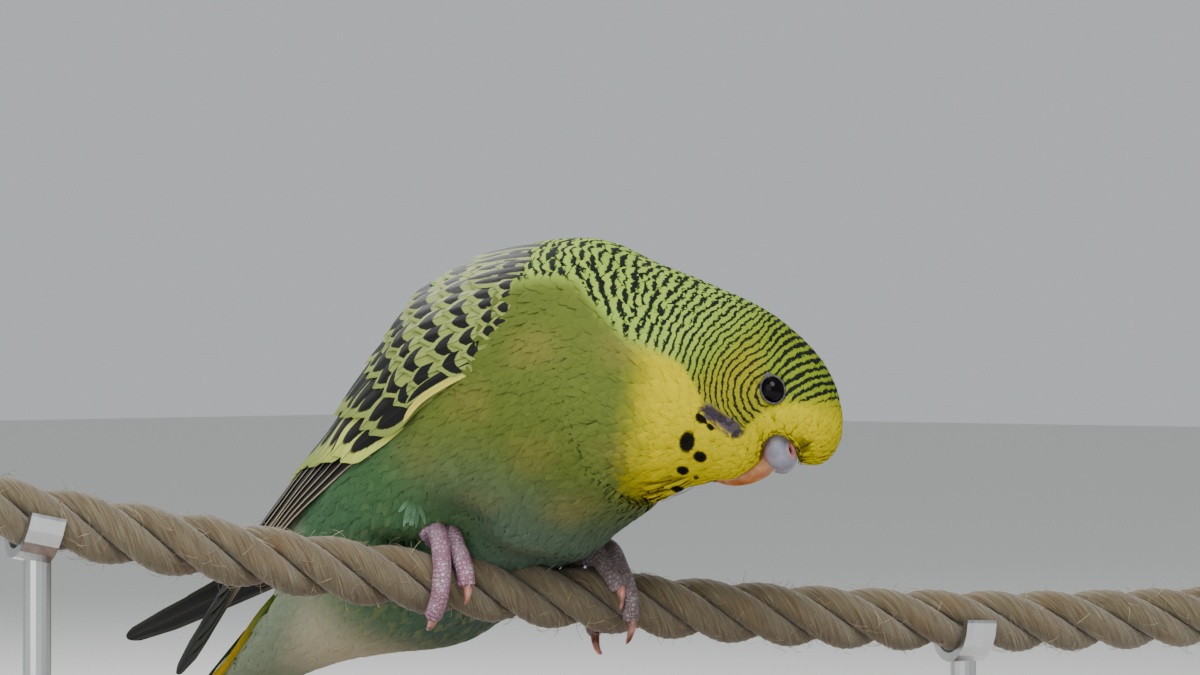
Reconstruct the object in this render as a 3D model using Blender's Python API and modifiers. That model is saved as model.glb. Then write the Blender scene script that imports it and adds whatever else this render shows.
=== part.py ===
"""Budgerigar at rest on a cut length of three-strand rope, life-size display model.

Frame: metres, +Z up, the bird's front faces -Y, its right side is -X.
The origin is the middle of the underside of the stand's base.
Inside this file lengths are millimetres from the perch point, the middle of the
rope between the feet; put() turns them into metres above the stand.
"""
from math import atan2, cos, pi, radians, sin, sqrt

import bmesh
import bpy
import numpy as np

MM = 0.001
GAP = 0.3               # clearance between neighbouring nodes
ROPE_HEIGHT = 68.0      # rope centre at the perch point above the underside of the base

# rope
ROPE_RADIUS = 5.1
ROPE_GROOVE = 3.5       # radius at the bottom of the groove between two strands
ROPE_LAY = 32.0         # length of one full turn of a strand
ROPE_SIDES = 12
ROPE_STEPS = 76
ROPE_LEFT = -88.0
ROPE_RIGHT = 124.0
ROPE_SKEW = 0.42        # how fast the rope runs away from the viewer's plane
ROPE_SAG = (-0.55, -0.1357, 0.00064, 2.4e-7)

# stand
ROD_STATION = 74.0      # rods stand this far from the perch point
ROD_RADIUS = 2.2
CRADLE_RADIUS = 6.9
CRADLE_LENGTH = 5.0
BASE_LENGTH = 196.0
BASE_WIDTH = 132.0
BASE_THICK = 6.0
BASE_BEVEL = 1.2

# the viewer's side of the model, which sets how the rope crosses the bird
VIEW_TURN = radians(42.0)

# body
BODY_PITCH = radians(42.0)
WING_DEPTH = 3.3        # how deep the folded wing lies in the body's outline

# head
EYE_RADIUS = 2.5
EYE_DEEP = 1.55          # centre of the eyeball under the face's surface
LID_RADIUS = 2.2
LID_THICK = 0.5

# feet
TOE_RADIUS = 1.5
KNUCKLE_RISE = 1.3      # how far the toes arch up at their roots
TOE_PATH = ROPE_RADIUS + GAP + TOE_RADIUS
FOOT_RIGHT = -15.0      # stations of the feet along the rope
FOOT_LEFT = 12.0
FOOT_ROOM = (5.0, 1.0, 5.6)   # hollow in the belly before the foot: near, up, radius


def unit(v):
    v = np.asarray(v, float)
    return v / np.linalg.norm(v)


def seen(a, b, z):
    """Vector from the viewer's right, depth and height to the bird's own frame."""
    return np.array([sin(VIEW_TURN) * a + cos(VIEW_TURN) * b,
                     -cos(VIEW_TURN) * a + sin(VIEW_TURN) * b, z])


def put(p):
    """Millimetres from the perch point to metres above the stand's underside."""
    p = np.array(p, float)
    p[..., 2] += ROPE_HEIGHT
    return p * MM


# directions
SPINE = np.array([0.0, -cos(BODY_PITCH), sin(BODY_PITCH)])
BELLY = np.array([0.0, -sin(BODY_PITCH), -cos(BODY_PITCH)])
RIGHT = np.array([-1.0, 0.0, 0.0])
FACE = unit(seen(0.31, -0.10, -0.945))
CROWN = seen(0.95, 0.0, 0.31)
CROWN = unit(CROWN - FACE * np.dot(CROWN, FACE))
CHEEK = np.cross(FACE, CROWN)
HEAD = np.array([16.5, -39.3, 31.5])


def axis_point(t, off):
    """Point of the body's middle plane, t along the spine, off towards the belly."""
    return SPINE * t + BELLY * off


def head_point(face, crown, cheek=0.0):
    return HEAD + FACE * face + CROWN * crown + CHEEK * cheek


def body_row(t, back, belly, half, squareness=2.05, tilt=0.0):
    return [*axis_point(t + tilt, back), *axis_point(t - tilt, belly), *RIGHT,
            half, 0.5, squareness]


def head_row(crown, back, front, half, widest=0.5, squareness=2.1):
    return [*head_point(back, crown), *head_point(front, crown), *CHEEK,
            half, widest, squareness]


# rings of the body from the tail's root to the crown:
# back point, belly point, right-hand direction, half width, widest place, squareness
BODY = [
    body_row(-74, -34.2, -28.2, 5.5),
    body_row(-56, -35, -25, 9),
    body_row(-42, -36, -19, 11.5),
    body_row(-30, -39, -11.5, 15),
    body_row(-18, -42, -3.5, 18.5),
    body_row(-6, -43.8, -1, 21),
    body_row(4, -45, 1, 22.3),
    body_row(13, -46, 3.5, 22.5, tilt=1),
    body_row(21, -46, 4, 22, tilt=4),
    [0, -4, 55.5, 1.5, -24.5, 14.0, -1, -0.12, 0, 20.5, 0.5, 2.1],
    [*head_point(-32, -18), *head_point(8.5, -25), *(RIGHT + CHEEK), 16.5, 0.5, 2.1],
    head_row(-10, -25, 10.4, 13),
    head_row(-2.5, -18.6, 9.8, 11.2, 0.55),
    head_row(1.2, -15.2, 12.0, 10.6, 0.55),
    head_row(4.5, -11.5, 12.5, 9.7, 0.52),
    head_row(7.6, -6.3, 10.4, 7.3),
    head_row(9.3, -2, 6.8, 4),
    head_row(9.9, 1.8, 2.2, 0.3),
]

# the folded wings' outer surface: as the body's from the sixth ring on
WING = [
    body_row(-72, -43.5, -38.5, 1.2),
    body_row(-58, -44, -35, 4.5),
    body_row(-44, -44, -29, 8.5),
    body_row(-30, -44, -19, 13.5),
    body_row(-18, -44, -8, 18),
] + BODY[5:11]

# edges of the folded wing on that surface, degrees from the back's middle line
WING_STATIONS = [0.0, 1.0, 2.0, 3.0, 4.0, 5.0, 6.0, 7.0, 8.0, 8.8]
WING_UPPER = [20, 10, 6, 3.5, 2.5, 2.5, 4, 10, 28, 56]
WING_LOWER = [120, 104, 88, 76, 77, 84, 86, 86, 84, 80]

STATION_BEND = 8.8      # the wing's bend
STATION_TORSO = 4.0     # node borders along the rings
STATION_TAIL = 1.75
STATION_NECK = 9.3
STATION_HEAD = 10.15


def row_at(rows, s):
    """Catmull-Rom value between the rows at station s."""
    i = int(min(max(s, 0), len(rows) - 1.000001))
    t = s - i
    last = len(rows) - 1
    b, c = np.array(rows[i]), np.array(rows[i + 1])
    a = np.array(rows[i - 1]) if i > 0 else 2 * b - c
    d = np.array(rows[i + 2]) if i + 2 <= last else 2 * c - b
    return 0.5 * (2 * b + (c - a) * t + (2 * a - 5 * b + 4 * c - d) * t * t
                  + (3 * b - a - 3 * c + d) * t ** 3)


def ring(row, angles):
    """Points of a ring; angle 0 is the back, 90 degrees the bird's right."""
    back, front = row[0:3], row[3:6]
    long = front - back
    length = np.linalg.norm(long)
    down = long / length
    side = unit(row[6:9])
    side = unit(side - down * np.dot(side, down))
    half, widest, square = row[9:12]
    power = 2.0 / square
    cs, sn = np.cos(angles), np.sin(angles)
    reach = np.where(cs > 0, widest * length, (1 - widest) * length)
    along = -np.sign(cs) * np.abs(cs) ** power * reach
    across = np.sign(sn) * np.abs(sn) ** power * half
    centre = back + long * widest
    return centre + along[:, None] * down + across[:, None] * side


def wing_point(s, degrees, depth=0.0, side=1):
    """Point under the folded wing's outer surface."""
    def raw(s1, d1):
        return ring(row_at(WING, s1), np.radians([d1]))[0]
    p = raw(s, degrees)
    ds = raw(min(s + 0.05, 9.4), degrees) - raw(s - 0.05, degrees)
    da = raw(s, degrees + 2) - raw(s, degrees - 2)
    normal = unit(np.cross(da, ds))
    p = p - normal * depth
    if side < 0:
        p, normal = cross_left(p, s), normal * np.array([-1, 1, 1])
    return p, normal


def cross_left(p, s):
    """Mirror to the left wing, whose tip lies above and across the right one's."""
    p = p * np.array([-1, 1, 1])
    lift = max(0.0, (3.0 - s) / 3.0)
    return p - np.array([8.0, 0, 0]) * lift ** 3.2 - BELLY * 9.0 * lift ** 0.9


# mesh tools
def collection(name):
    made = bpy.data.collections.new(name)
    bpy.context.scene.collection.children.link(made)
    return made


def material(name, colour, roughness=0.6, metallic=0.0):
    made = bpy.data.materials.new(name)
    made.use_nodes = True
    shader = made.node_tree.nodes["Principled BSDF"]
    shader.inputs["Base Color"].default_value = (*colour, 1.0)
    shader.inputs["Roughness"].default_value = roughness
    shader.inputs["Metallic"].default_value = metallic
    made.diffuse_color = (*colour, 1.0)
    return made


def mesh_object(name, points, faces, home, look=None, smooth=True):
    """Object from points in millimetres, with its faces turned outwards."""
    mesh = bpy.data.meshes.new(name)
    mesh.from_pydata([tuple(p) for p in put(points)], [], faces)
    mesh.validate()
    work = bmesh.new()
    work.from_mesh(mesh)
    bmesh.ops.recalc_face_normals(work, faces=work.faces)
    if work.calc_volume(signed=True) < 0:
        bmesh.ops.reverse_faces(work, faces=work.faces)
    work.to_mesh(mesh)
    work.free()
    made = bpy.data.objects.new(name, mesh)
    home.objects.link(made)
    if look:
        mesh.materials.append(look)
    if smooth:
        mesh.shade_smooth()
        mesh.set_sharp_from_angle(angle=radians(40))
    return made


def loft(rings):
    """Points and faces of a closed skin over rings of equal count, with flat ends."""
    count, sides = len(rings), len(rings[0])
    points = np.vstack(rings)
    faces = []
    for i in range(count - 1):
        for k in range(sides):
            n = (k + 1) % sides
            faces.append((i * sides + k, i * sides + n, (i + 1) * sides + n, (i + 1) * sides + k))
    faces.append(tuple(range(sides))[::-1])
    faces.append(tuple((count - 1) * sides + k for k in range(sides)))
    return points, faces


def tube(path, radii, sides=8, flat=1.0, up=(0, 0, 1)):
    """Tapered tube along a path, flattened across the up direction."""
    path = np.asarray(path, float)
    rings = []
    for i, p in enumerate(path):
        ahead = path[min(i + 1, len(path) - 1)] - path[max(i - 1, 0)]
        ahead = unit(ahead)
        side = np.cross(ahead, up)
        side = unit(side) if np.linalg.norm(side) > 1e-6 else np.array([1.0, 0, 0])
        over = np.cross(side, ahead)
        angles = np.arange(sides) * 2 * pi / sides
        rings.append(p + radii[i] * (np.cos(angles)[:, None] * side
                                     + flat * np.sin(angles)[:, None] * over))
    return loft(rings)


def boolean(target, others, operation, solver="EXACT"):
    """Apply one Boolean of a collection of closed meshes, which are then removed."""
    group = bpy.data.collections.new("cutters")
    bpy.context.scene.collection.children.link(group)
    for other in others:
        for home in list(other.users_collection):
            home.objects.unlink(other)
        group.objects.link(other)
    step = target.modifiers.new("fuse", "BOOLEAN")
    step.operation = operation
    step.solver = solver
    step.operand_type = "COLLECTION"
    step.collection = group
    view = bpy.context.evaluated_depsgraph_get()
    result = bpy.data.meshes.new_from_object(target.evaluated_get(view))
    target.modifiers.clear()
    old = target.data
    target.data = result
    bpy.data.meshes.remove(old)
    for other in others:
        bpy.data.objects.remove(other)
    bpy.data.collections.remove(group)
    keep_largest(target)


def keep_largest(target):
    """Drop every closed surface but the largest."""
    work = bmesh.new()
    work.from_mesh(target.data)
    bmesh.ops.remove_doubles(work, verts=work.verts, dist=0.000002)
    bmesh.ops.dissolve_degenerate(work, edges=work.edges, dist=0.000002)
    work.verts.ensure_lookup_table()
    seen_verts, groups = set(), []
    for start in work.verts:
        if start in seen_verts:
            continue
        stack, group = [start], []
        seen_verts.add(start)
        while stack:
            v = stack.pop()
            group.append(v)
            for e in v.link_edges:
                o = e.other_vert(v)
                if o not in seen_verts:
                    seen_verts.add(o)
                    stack.append(o)
        groups.append(group)
    groups.sort(key=len, reverse=True)
    for group in groups[1:]:
        bmesh.ops.delete(work, geom=group, context="VERTS")
    work.to_mesh(target.data)
    work.free()


# rope
def rope_point(a):
    """Centre line of the rope, a millimetres to the viewer's right."""
    z = sum(c * a ** k for k, c in enumerate(ROPE_SAG))
    return seen(a, ROPE_SKEW * a, z)


def rope_frame(a):
    """Along, towards the viewer, and up at one place of the rope."""
    along = unit(rope_point(a + 0.5) - rope_point(a - 0.5))
    near = unit(np.cross(along, (0, 0, 1)) * 1.0)
    if np.dot(near, seen(0, -1, 0)) < 0:
        near = -near
    up = np.cross(near, along)
    if up[2] < 0:
        up = -up
    return along, near, up


def rope_tube(radius, left, right, sides, steps):
    rings = []
    for i in range(steps + 1):
        a = left + (right - left) * i / steps
        _, near, up = rope_frame(a)
        angles = np.arange(sides) * 2 * pi / sides
        rings.append(rope_point(a) + radius * (np.cos(angles)[:, None] * up
                                               + np.sin(angles)[:, None] * near))
    return loft(rings)


def make_rope(home, look):
    """Three strands laid together, as one solid with grooves."""
    sides, steps = ROPE_SIDES, ROPE_STEPS
    rings = []
    stretch = sqrt(1 + ROPE_SKEW ** 2)
    for i in range(steps + 1):
        a = ROPE_LEFT + (ROPE_RIGHT - ROPE_LEFT) * i / steps
        _, near, up = rope_frame(a)
        turn = 2 * pi * a * stretch / ROPE_LAY
        angles = np.arange(sides) * 2 * pi / sides
        swell = np.abs(np.cos(1.5 * angles)) ** 0.7
        radius = ROPE_GROOVE + (ROPE_RADIUS - ROPE_GROOVE) * swell
        turned = angles + turn
        rings.append(rope_point(a) + radius[:, None] * (np.cos(turned)[:, None] * up
                                                        + np.sin(turned)[:, None] * near))
    return mesh_object("rope", *loft(rings), home, look)


# stand
def make_stand(home, look_base, look_rod):
    along = unit(seen(1, ROPE_SKEW, 0))
    turn = atan2(along[1], along[0])
    bpy.ops.mesh.primitive_cylinder_add(vertices=56, radius=0.5, depth=1.0)
    base = bpy.context.object
    base.name = "stand_base"
    base.data.transform(base.matrix_world)
    base.scale = (BASE_LENGTH * MM, BASE_WIDTH * MM, BASE_THICK * MM)
    base.rotation_euler = (0, 0, turn)
    base.location = (0, 0, BASE_THICK * MM / 2)
    bpy.context.view_layer.update()
    base.data.transform(base.matrix_world)
    base.matrix_world.identity()
    rim = base.modifiers.new("rim", "BEVEL")
    rim.width = BASE_BEVEL * MM
    rim.segments = 1
    rim.limit_method = "ANGLE"
    rim.angle_limit = radians(60)
    base.data.materials.append(look_base)
    base.data.name = "stand_base"
    relink(base, home)
    for name, a in (("stand_rod_left", -ROD_STATION), ("stand_rod_right", ROD_STATION)):
        foot = rope_point(a)
        low = BASE_THICK + GAP - ROPE_HEIGHT
        rod_points, rod_faces = tube([(foot[0], foot[1], low), (foot[0], foot[1], foot[2] - 6.2)],
                                     [ROD_RADIUS, ROD_RADIUS], 16, up=(0, 1, 0))
        rod = mesh_object(name, rod_points, rod_faces, home, look_rod)
        cup = mesh_object("cup", *rope_tube(CRADLE_RADIUS, a - CRADLE_LENGTH / 2,
                                            a + CRADLE_LENGTH / 2, 20, 1), home, look_rod)
        boolean(rod, [cup], "UNION")
        bore = mesh_object("bore", *rope_tube(ROPE_RADIUS + GAP, a - 12, a + 12, 24, 4), home)
        along_r, near, up = rope_frame(a)
        middle = rope_point(a)
        lid = [middle + along_r * x + near * y + up * z
               for x in (-12, 12) for y in (-12, 12) for z in (0.5, 14)]
        lid_faces = [(0, 1, 3, 2), (4, 6, 7, 5), (0, 4, 5, 1), (2, 3, 7, 6), (0, 2, 6, 4), (1, 5, 7, 3)]
        top = mesh_object("top", np.array(lid), lid_faces, home)
        boolean(rod, [bore, top], "DIFFERENCE")
        rod.data.name = name


def relink(made, home):
    for old in list(made.users_collection):
        old.objects.unlink(made)
    home.objects.link(made)


# flesh
def flesh(s0, s1, steps, sides=32):
    """Closed loft of the body between two stations."""
    rings = []
    angles = np.arange(sides) * 2 * pi / sides
    for i in range(steps + 1):
        rings.append(ring(row_at(BODY, s0 + (s1 - s0) * i / steps), angles))
    return loft(rings)


def make_flesh(home, look):
    gap = 0.02
    made = {}
    made["rump"] = mesh_object("rump", *flesh(STATION_TAIL + 0.03, STATION_TORSO - gap, 7, 28),
                               home, look["belly"])
    made["torso"] = mesh_object("torso", *flesh(STATION_TORSO + gap, STATION_NECK - 0.01, 14, 30),
                                home, look["belly"])
    made["neck"] = mesh_object("neck", *flesh(STATION_NECK + 0.01, STATION_HEAD - 0.012, 5, 28),
                               home, look["nape"])
    made["head"] = mesh_object("head", *flesh(STATION_HEAD + 0.012, len(BODY) - 1, 13, 26),
                               home, look["face"])
    return made


# head parts
def ball(name, centre, radii, axes, home, look=None, rings=10, sides=14):
    """Ellipsoid with its own axes."""
    points = []
    faces = []
    top = np.asarray(centre) + axes[2] * radii[2]
    points.append(top)
    for i in range(1, rings):
        phi = pi * i / rings
        for k in range(sides):
            th = 2 * pi * k / sides
            points.append(np.asarray(centre) + axes[0] * radii[0] * sin(phi) * cos(th)
                          + axes[1] * radii[1] * sin(phi) * sin(th) + axes[2] * radii[2] * cos(phi))
    points.append(np.asarray(centre) - axes[2] * radii[2])
    for k in range(sides):
        n = (k + 1) % sides
        faces.append((0, 1 + k, 1 + n))
        for i in range(rings - 2):
            a, b = 1 + i * sides, 1 + (i + 1) * sides
            faces.append((a + k, b + k, b + n, a + n))
        last = len(points) - 1
        faces.append((last, 1 + (rings - 2) * sides + n, 1 + (rings - 2) * sides + k))
    return mesh_object(name, np.array(points), faces, home, look)


HEAD_AXES = (FACE, CROWN, CHEEK)

# middle line of the upper bill: face, crown, half width, half depth
BILL_UPPER = [
    (6.5, -2.8, 3.0, 2.0),
    (9.2, -3.6, 3.3, 2.5),
    (10.6, -5.6, 2.9, 2.4),
    (11.2, -8.2, 2.2, 2.0),
    (11.1, -10.5, 1.4, 1.3),
    (10.6, -12.7, 0.45, 0.45),
]
BILL_LOWER = [
    (5.0, -8.6, 2.0, 1.2),
    (7.2, -9.2, 2.2, 1.4),
    (8.6, -9.9, 1.7, 1.0),
    (9.2, -10.6, 0.8, 0.5),
]


def bill(name, stations, home, look=None, grow=0.0, sides=12):
    """Curved horn through stations in the head's middle plane."""
    path = np.array([head_point(f, u) for f, u, _, _ in stations])
    rings = []
    for i, (f, u, half, deep) in enumerate(stations):
        ahead = unit(path[min(i + 1, len(path) - 1)] - path[max(i - 1, 0)])
        over = np.cross(ahead, CHEEK)
        angles = np.arange(sides) * 2 * pi / sides
        rings.append(path[i] + (half + grow) * np.cos(angles)[:, None] * CHEEK
                     + (deep + grow) * np.sin(angles)[:, None] * over)
    if grow:
        rings[0] = rings[0] - unit(path[1] - path[0]) * grow
        rings[-1] = rings[-1] + unit(path[-1] - path[-2]) * grow
    return mesh_object(name, *loft(rings), home, look)


CERE_LOBE = (8.2, -1.5, 3.0)    # face, crown, cheek of one lobe
CERE_RADII = (3.4, 2.9, 3.0)
NOSTRIL = (10.2, -0.3, 5.1)
CERE_ROOM = 0.45


def cere(name, home, look=None, grow=0.0):
    """Two swollen lobes over the bill's root with the nostrils."""
    radii = tuple(r + grow for r in CERE_RADII)
    f, u, w = CERE_LOBE
    made = ball(name, head_point(f, u, w), radii, HEAD_AXES, home, look, 8, 12)
    other = ball("lobe", head_point(f, u, -w), radii, HEAD_AXES, home, None, 8, 12)
    boolean(made, [other], "UNION")
    made.data.name = name
    return made


def face_surface(side):
    """Place and outward direction of the head's surface at the eye."""
    best = None
    for s in np.linspace(11.0, 14.0, 61):
        points = ring(row_at(BODY, s), np.radians(np.arange(50, 131, 2.0)) * side)
        local = points - HEAD
        miss = np.hypot(local @ FACE, local @ CROWN)
        k = int(np.argmin(miss))
        if best is None or miss[k] < best[0]:
            best = (miss[k], s, 50 + 2.0 * k)
    _, s, degrees = best
    grid = [ring(row_at(BODY, s + ds), np.radians([(degrees + da) * side]))[0]
            for ds, da in ((0, 0), (0.1, 0), (-0.1, 0), (0, 4), (0, -4))]
    out = unit(np.cross(grid[3] - grid[4], grid[1] - grid[2]) * side)
    if np.dot(out, CHEEK * side) < 0:
        out = -out
    return grid[0], out


def eye_lid(centre, axes, home, around=16, sides=6):
    """Ring of bare skin round the eye."""
    points, faces = [], []
    for i in range(around):
        th = 2 * pi * i / around
        out = axes[0] * cos(th) + axes[1] * sin(th)
        for k in range(sides):
            ph = 2 * pi * k / sides
            points.append(centre + out * (LID_RADIUS + LID_THICK * cos(ph))
                          + axes[2] * LID_THICK * sin(ph))
    for i in range(around):
        n = (i + 1) % around
        for k in range(sides):
            m = (k + 1) % sides
            faces.append((i * sides + k, n * sides + k, n * sides + m, i * sides + m))
    return mesh_object("lid", np.array(points), faces, home)


def make_head(home, look, head):
    cutters = []
    for side, name in ((1, "eye_right"), (-1, "eye_left")):
        place, out = face_surface(side)
        over = unit(CROWN - out * np.dot(CROWN, out))
        axes = (np.cross(over, out), over, out)
        centre = place - out * EYE_DEEP
        lid = eye_lid(place + out * 0.05, axes, home)
        boolean(head, [lid], "UNION")
        ball(name, centre, (EYE_RADIUS, EYE_RADIUS, EYE_RADIUS), axes, home, look["eye"], 8, 14)
        cutters.append(ball("socket", centre, (EYE_RADIUS + GAP,) * 3, axes, home, None, 8, 14))
    cutters.append(bill("room", BILL_UPPER, home, grow=GAP))
    cutters.append(bill("room_low", BILL_LOWER, home, grow=GAP))
    cutters.append(cere("room_cere", home, grow=CERE_ROOM))
    boolean(head, cutters, "DIFFERENCE")

    waxy = cere("cere", home, look["cere"])
    pits = [ball("pit", head_point(NOSTRIL[0], NOSTRIL[1], NOSTRIL[2] * s), (0.75, 0.42, 0.8),
                 HEAD_AXES, home, None, 6, 8) for s in (1, -1)]
    boolean(waxy, pits + [bill("under", BILL_UPPER, home, grow=GAP)], "DIFFERENCE")
    upper = bill("bill_upper", BILL_UPPER, home, look["bill"])
    boolean(upper, [bill("tongue_room", BILL_LOWER, home, grow=GAP)], "DIFFERENCE")
    bill("bill_lower", BILL_LOWER, home, look["bill"])
    upper.data.name = "bill_upper"


# feet
# toes: station offset along the rope at root and tip, first and last angle from
# the rope's top towards the viewer, claw's length
TOES_RIGHT = {
    "outer": (0.0, -1.2, -18, 142, 3.4),
    "inner": (2.8, 5.2, -12, 84, 3.6),
    "hind_outer": (-0.8, -4.4, 12, -104, 4.5),
    "hind_inner": (1.6, 2.6, 8, -84, 4.0),
}
TOES_LEFT = {
    "outer": (0.4, 3.6, -20, 112, 5.0),
    "inner": (-2.2, 1.2, -14, 74, 4.0),
    "hind_outer": (1.2, 2.6, 10, -140, 5.5),
    "hind_inner": (-1.2, -3.0, 8, -84, 4.0),
}


def toe_path(foot, spec, count, extra=0.0):
    """Middle line of a toe wrapped over the rope."""
    start, stop, first, last, _ = spec
    path = []
    for i in range(count + 1):
        f = i / count
        a = foot + start + (stop - start) * f
        phi = radians(first + (last - first) * f)
        _, near, up = rope_frame(a)
        reach = TOE_PATH + extra + KNUCKLE_RISE * sin(pi * min(1.0, 0.25 + f * 1.5)) ** 2
        path.append(rope_point(a) + reach * (sin(phi) * near + cos(phi) * up))
    return np.array(path)


def claw_path(foot, spec, count):
    """Middle line of a claw, which leaves the toe's end and hooks down."""
    start, stop, first, last, length = spec
    a = foot + stop
    along, near, up = rope_frame(a)
    phi = radians(last)
    turn = 1 if last > first else -1
    at = rope_point(a) + TOE_PATH * (sin(phi) * near + cos(phi) * up)
    heading = turn * (cos(phi) * near - sin(phi) * up)
    inward = -(sin(phi) * near + cos(phi) * up)
    path = [at - heading * 0.8]
    for i in range(1, count + 1):
        f = i / count
        bend = 0.9 * f
        path.append(at + length * f * (cos(bend) * heading + 0.12 * sin(bend) * inward))
    return np.array(path)


def toe_pieces(foot, toes, home, grow=0.0, claws=True, sides=7, count=7):
    pieces = []
    for spec in toes.values():
        path = toe_path(foot, spec, count)
        radii = [TOE_RADIUS * (1.0 - 0.12 * i / count) + grow for i in range(count + 1)]
        pieces.append(mesh_object("toe", *tube(path, radii, sides, up=tuple(rope_frame(foot)[0])), home))
        if claws:
            line = claw_path(foot, spec, 3)
            thin = [0.95, 0.8, 0.55, 0.2]
            pieces.append(mesh_object("claw", *tube(line, [r + grow for r in thin], 6,
                                                    up=tuple(rope_frame(foot)[0])), home))
    return pieces


def leg_line(foot):
    """From the ankle over the toes' roots up into the belly."""
    _, near, up = rope_frame(foot)
    low = rope_point(foot + (1.0 if foot < 0 else -0.8)) + up * (TOE_PATH + 0.2) - near * 1.5
    high = low + np.array([0.0, 9.0, 9.0])
    return low, high


def make_feet(home, look):
    """Feet with toes and claws, and the short shanks above them."""
    for name, leg_name, foot, toes in (("foot_right", "leg_right", FOOT_RIGHT, TOES_RIGHT),
                                       ("foot_left", "leg_left", FOOT_LEFT, TOES_LEFT)):
        low, high = leg_line(foot)
        heading = unit(high - low)
        knuckle = ball(name, low, (2.1, 2.1, 1.8), (np.array([1.0, 0, 0]), np.array([0, 1.0, 0]),
                                                    np.array([0, 0, 1.0])), home, look["foot"], 8, 10)
        boolean(knuckle, toe_pieces(foot, toes, home), "UNION")
        knuckle.data.name = name
        bottom = low + heading * (2.1 + GAP)
        points, faces = tube([bottom, bottom + heading * 4.0, bottom + heading * 8.5],
                             [1.5, 1.6, 2.2], 10, up=(1, 0, 0))
        leg = mesh_object(leg_name, points, faces, home, look["foot"])
        clearance = toe_pieces(foot, toes, home, grow=GAP, claws=False)
        boolean(leg, clearance, "DIFFERENCE")
        leg.data.name = leg_name


def cut_body(home, made):
    """Room in the flesh for the rope, the toes and the shanks."""
    for name in ("torso", "rump"):
        cutters = [mesh_object("wing_room", *wing_shell(SLAB_END - 0.6, STATION_BEND + ROOM_AHEAD, 11, 6,
                                                        -4.0, WING_DEPTH + GAP + 0.1, side,
                                                        True), home) for side in (1, -1)]
        cutters += [mesh_object("groove", *rope_tube(ROPE_RADIUS + GAP + 0.1, -60, 60, 20, 12), home)]
        for foot, toes in ((FOOT_RIGHT, TOES_RIGHT), (FOOT_LEFT, TOES_LEFT)):
            low, high = leg_line(foot)
            cutters += toe_pieces(foot, toes, home, grow=GAP + 0.15)
            heading = unit(high - low)
            _, near, up = rope_frame(foot)
            cutters.append(ball("hollow", low + near * FOOT_ROOM[0] + up * FOOT_ROOM[1],
                                (FOOT_ROOM[2],) * 3, (RIGHT, SPINE, BELLY), home, None, 8, 12))
            cutters.append(mesh_object("shank", *tube([low - heading * 2.6, low + heading * 2.4,
                                                       low + heading * 11.2],
                                                      [2.7, 2.7, 2.7], 8, up=(1, 0, 0)), home))
        boolean(made[name], cutters, "DIFFERENCE")
        made[name].data.name = name


# wings and tail
def wing_shell(s0, s1, steps, across, outer, inner, side, room=False):
    """Closed shell under the folded wing's outer surface; as room it is wider than the wing."""
    rings = []
    for i in range(steps + 1):
        s = s0 + (s1 - s0) * i / steps
        upper = np.interp(s, WING_STATIONS, WING_UPPER)
        lower = np.interp(s, WING_STATIONS, WING_LOWER)
        fade = min(1.0, (STATION_BEND - s) / 0.5 + 0.35, s / 1.2 + 0.12)
        if room:
            upper = max(upper - ROOM_UPPER, 0.6)
            lower = np.interp(s, WING_STATIONS, ROOM_LOWER)
            fade = 1.0
        line = []
        for k in range(across + 1):
            line.append(wing_point(s, upper + (lower - upper) * k / across, outer, side)[0])
        for k in range(across, -1, -1):
            deep = outer + (inner - outer) * fade
            line.append(wing_point(s, upper + (lower - upper) * k / across, deep, side)[0])
        rings.append(np.array(line))
    return loft(rings)


def vane_profile(f, root=0.5, tip=0.42):
    """Width of a feather along its length, 1 at its widest."""
    swell = min(1.0, root + (1 - root) * sin(min(f / 0.45, 1.0) * pi / 2))
    close = sqrt(max(0.0, 1 - max(0.0, (f - 0.62) / 0.42) ** 2.2))
    return max(swell * close, tip * 0.5 if f > 0.95 else 0.0)


def vane(middle, normals, half, thick, home):
    """Feather as a thin lens: a closed strip with a raised shaft line.

    middle is the shaft line, normals the outward directions along it.
    """
    count = len(middle)
    points, faces = [], []
    for i in range(count):
        f = i / (count - 1)
        ahead = unit(middle[min(i + 1, count - 1)] - middle[max(i - 1, 0)])
        out = unit(normals[i] - ahead * np.dot(normals[i], ahead))
        across = np.cross(out, ahead)
        w = half * vane_profile(f)
        drop = w * w / (2 * VANE_CURL)
        t = thick * (1.0 if f < 0.9 else 0.7)
        points += [middle[i] - across * w - out * drop, middle[i] + out * t * 0.5,
                   middle[i] + across * w - out * drop, middle[i] - out * (t * 0.5 + drop * 0.6)]
    for i in range(count - 1):
        a, b = 4 * i, 4 * (i + 1)
        for k, n in ((0, 1), (2, 1), (2, 3), (0, 3)):
            faces.append((a + k, a + n, b + n))
            faces.append((a + k, b + n, b + k))
    faces += [(0, 3, 1), (1, 3, 2)]
    e = 4 * (count - 1)
    faces += [(e, e + 1, e + 3), (e + 1, e + 2, e + 3)]
    return mesh_object("vane", np.array(points), faces, home)


def wing_vane(spec, side, home):
    """Feather of the wing between two places of its surface."""
    s0, d0, s1, d1, deep0, deep1, half, count = spec
    middle, normals = [], []
    for i in range(count + 1):
        f = i / count
        deep = deep0 + (deep1 - deep0) * f ** 0.7
        p, n = wing_point(s0 + (s1 - s0) * f, d0 + (d1 - d0) * f, deep, side)
        middle.append(p)
        normals.append(n)
    return vane(np.array(middle), normals, half, VANE_THICK, home)


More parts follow.
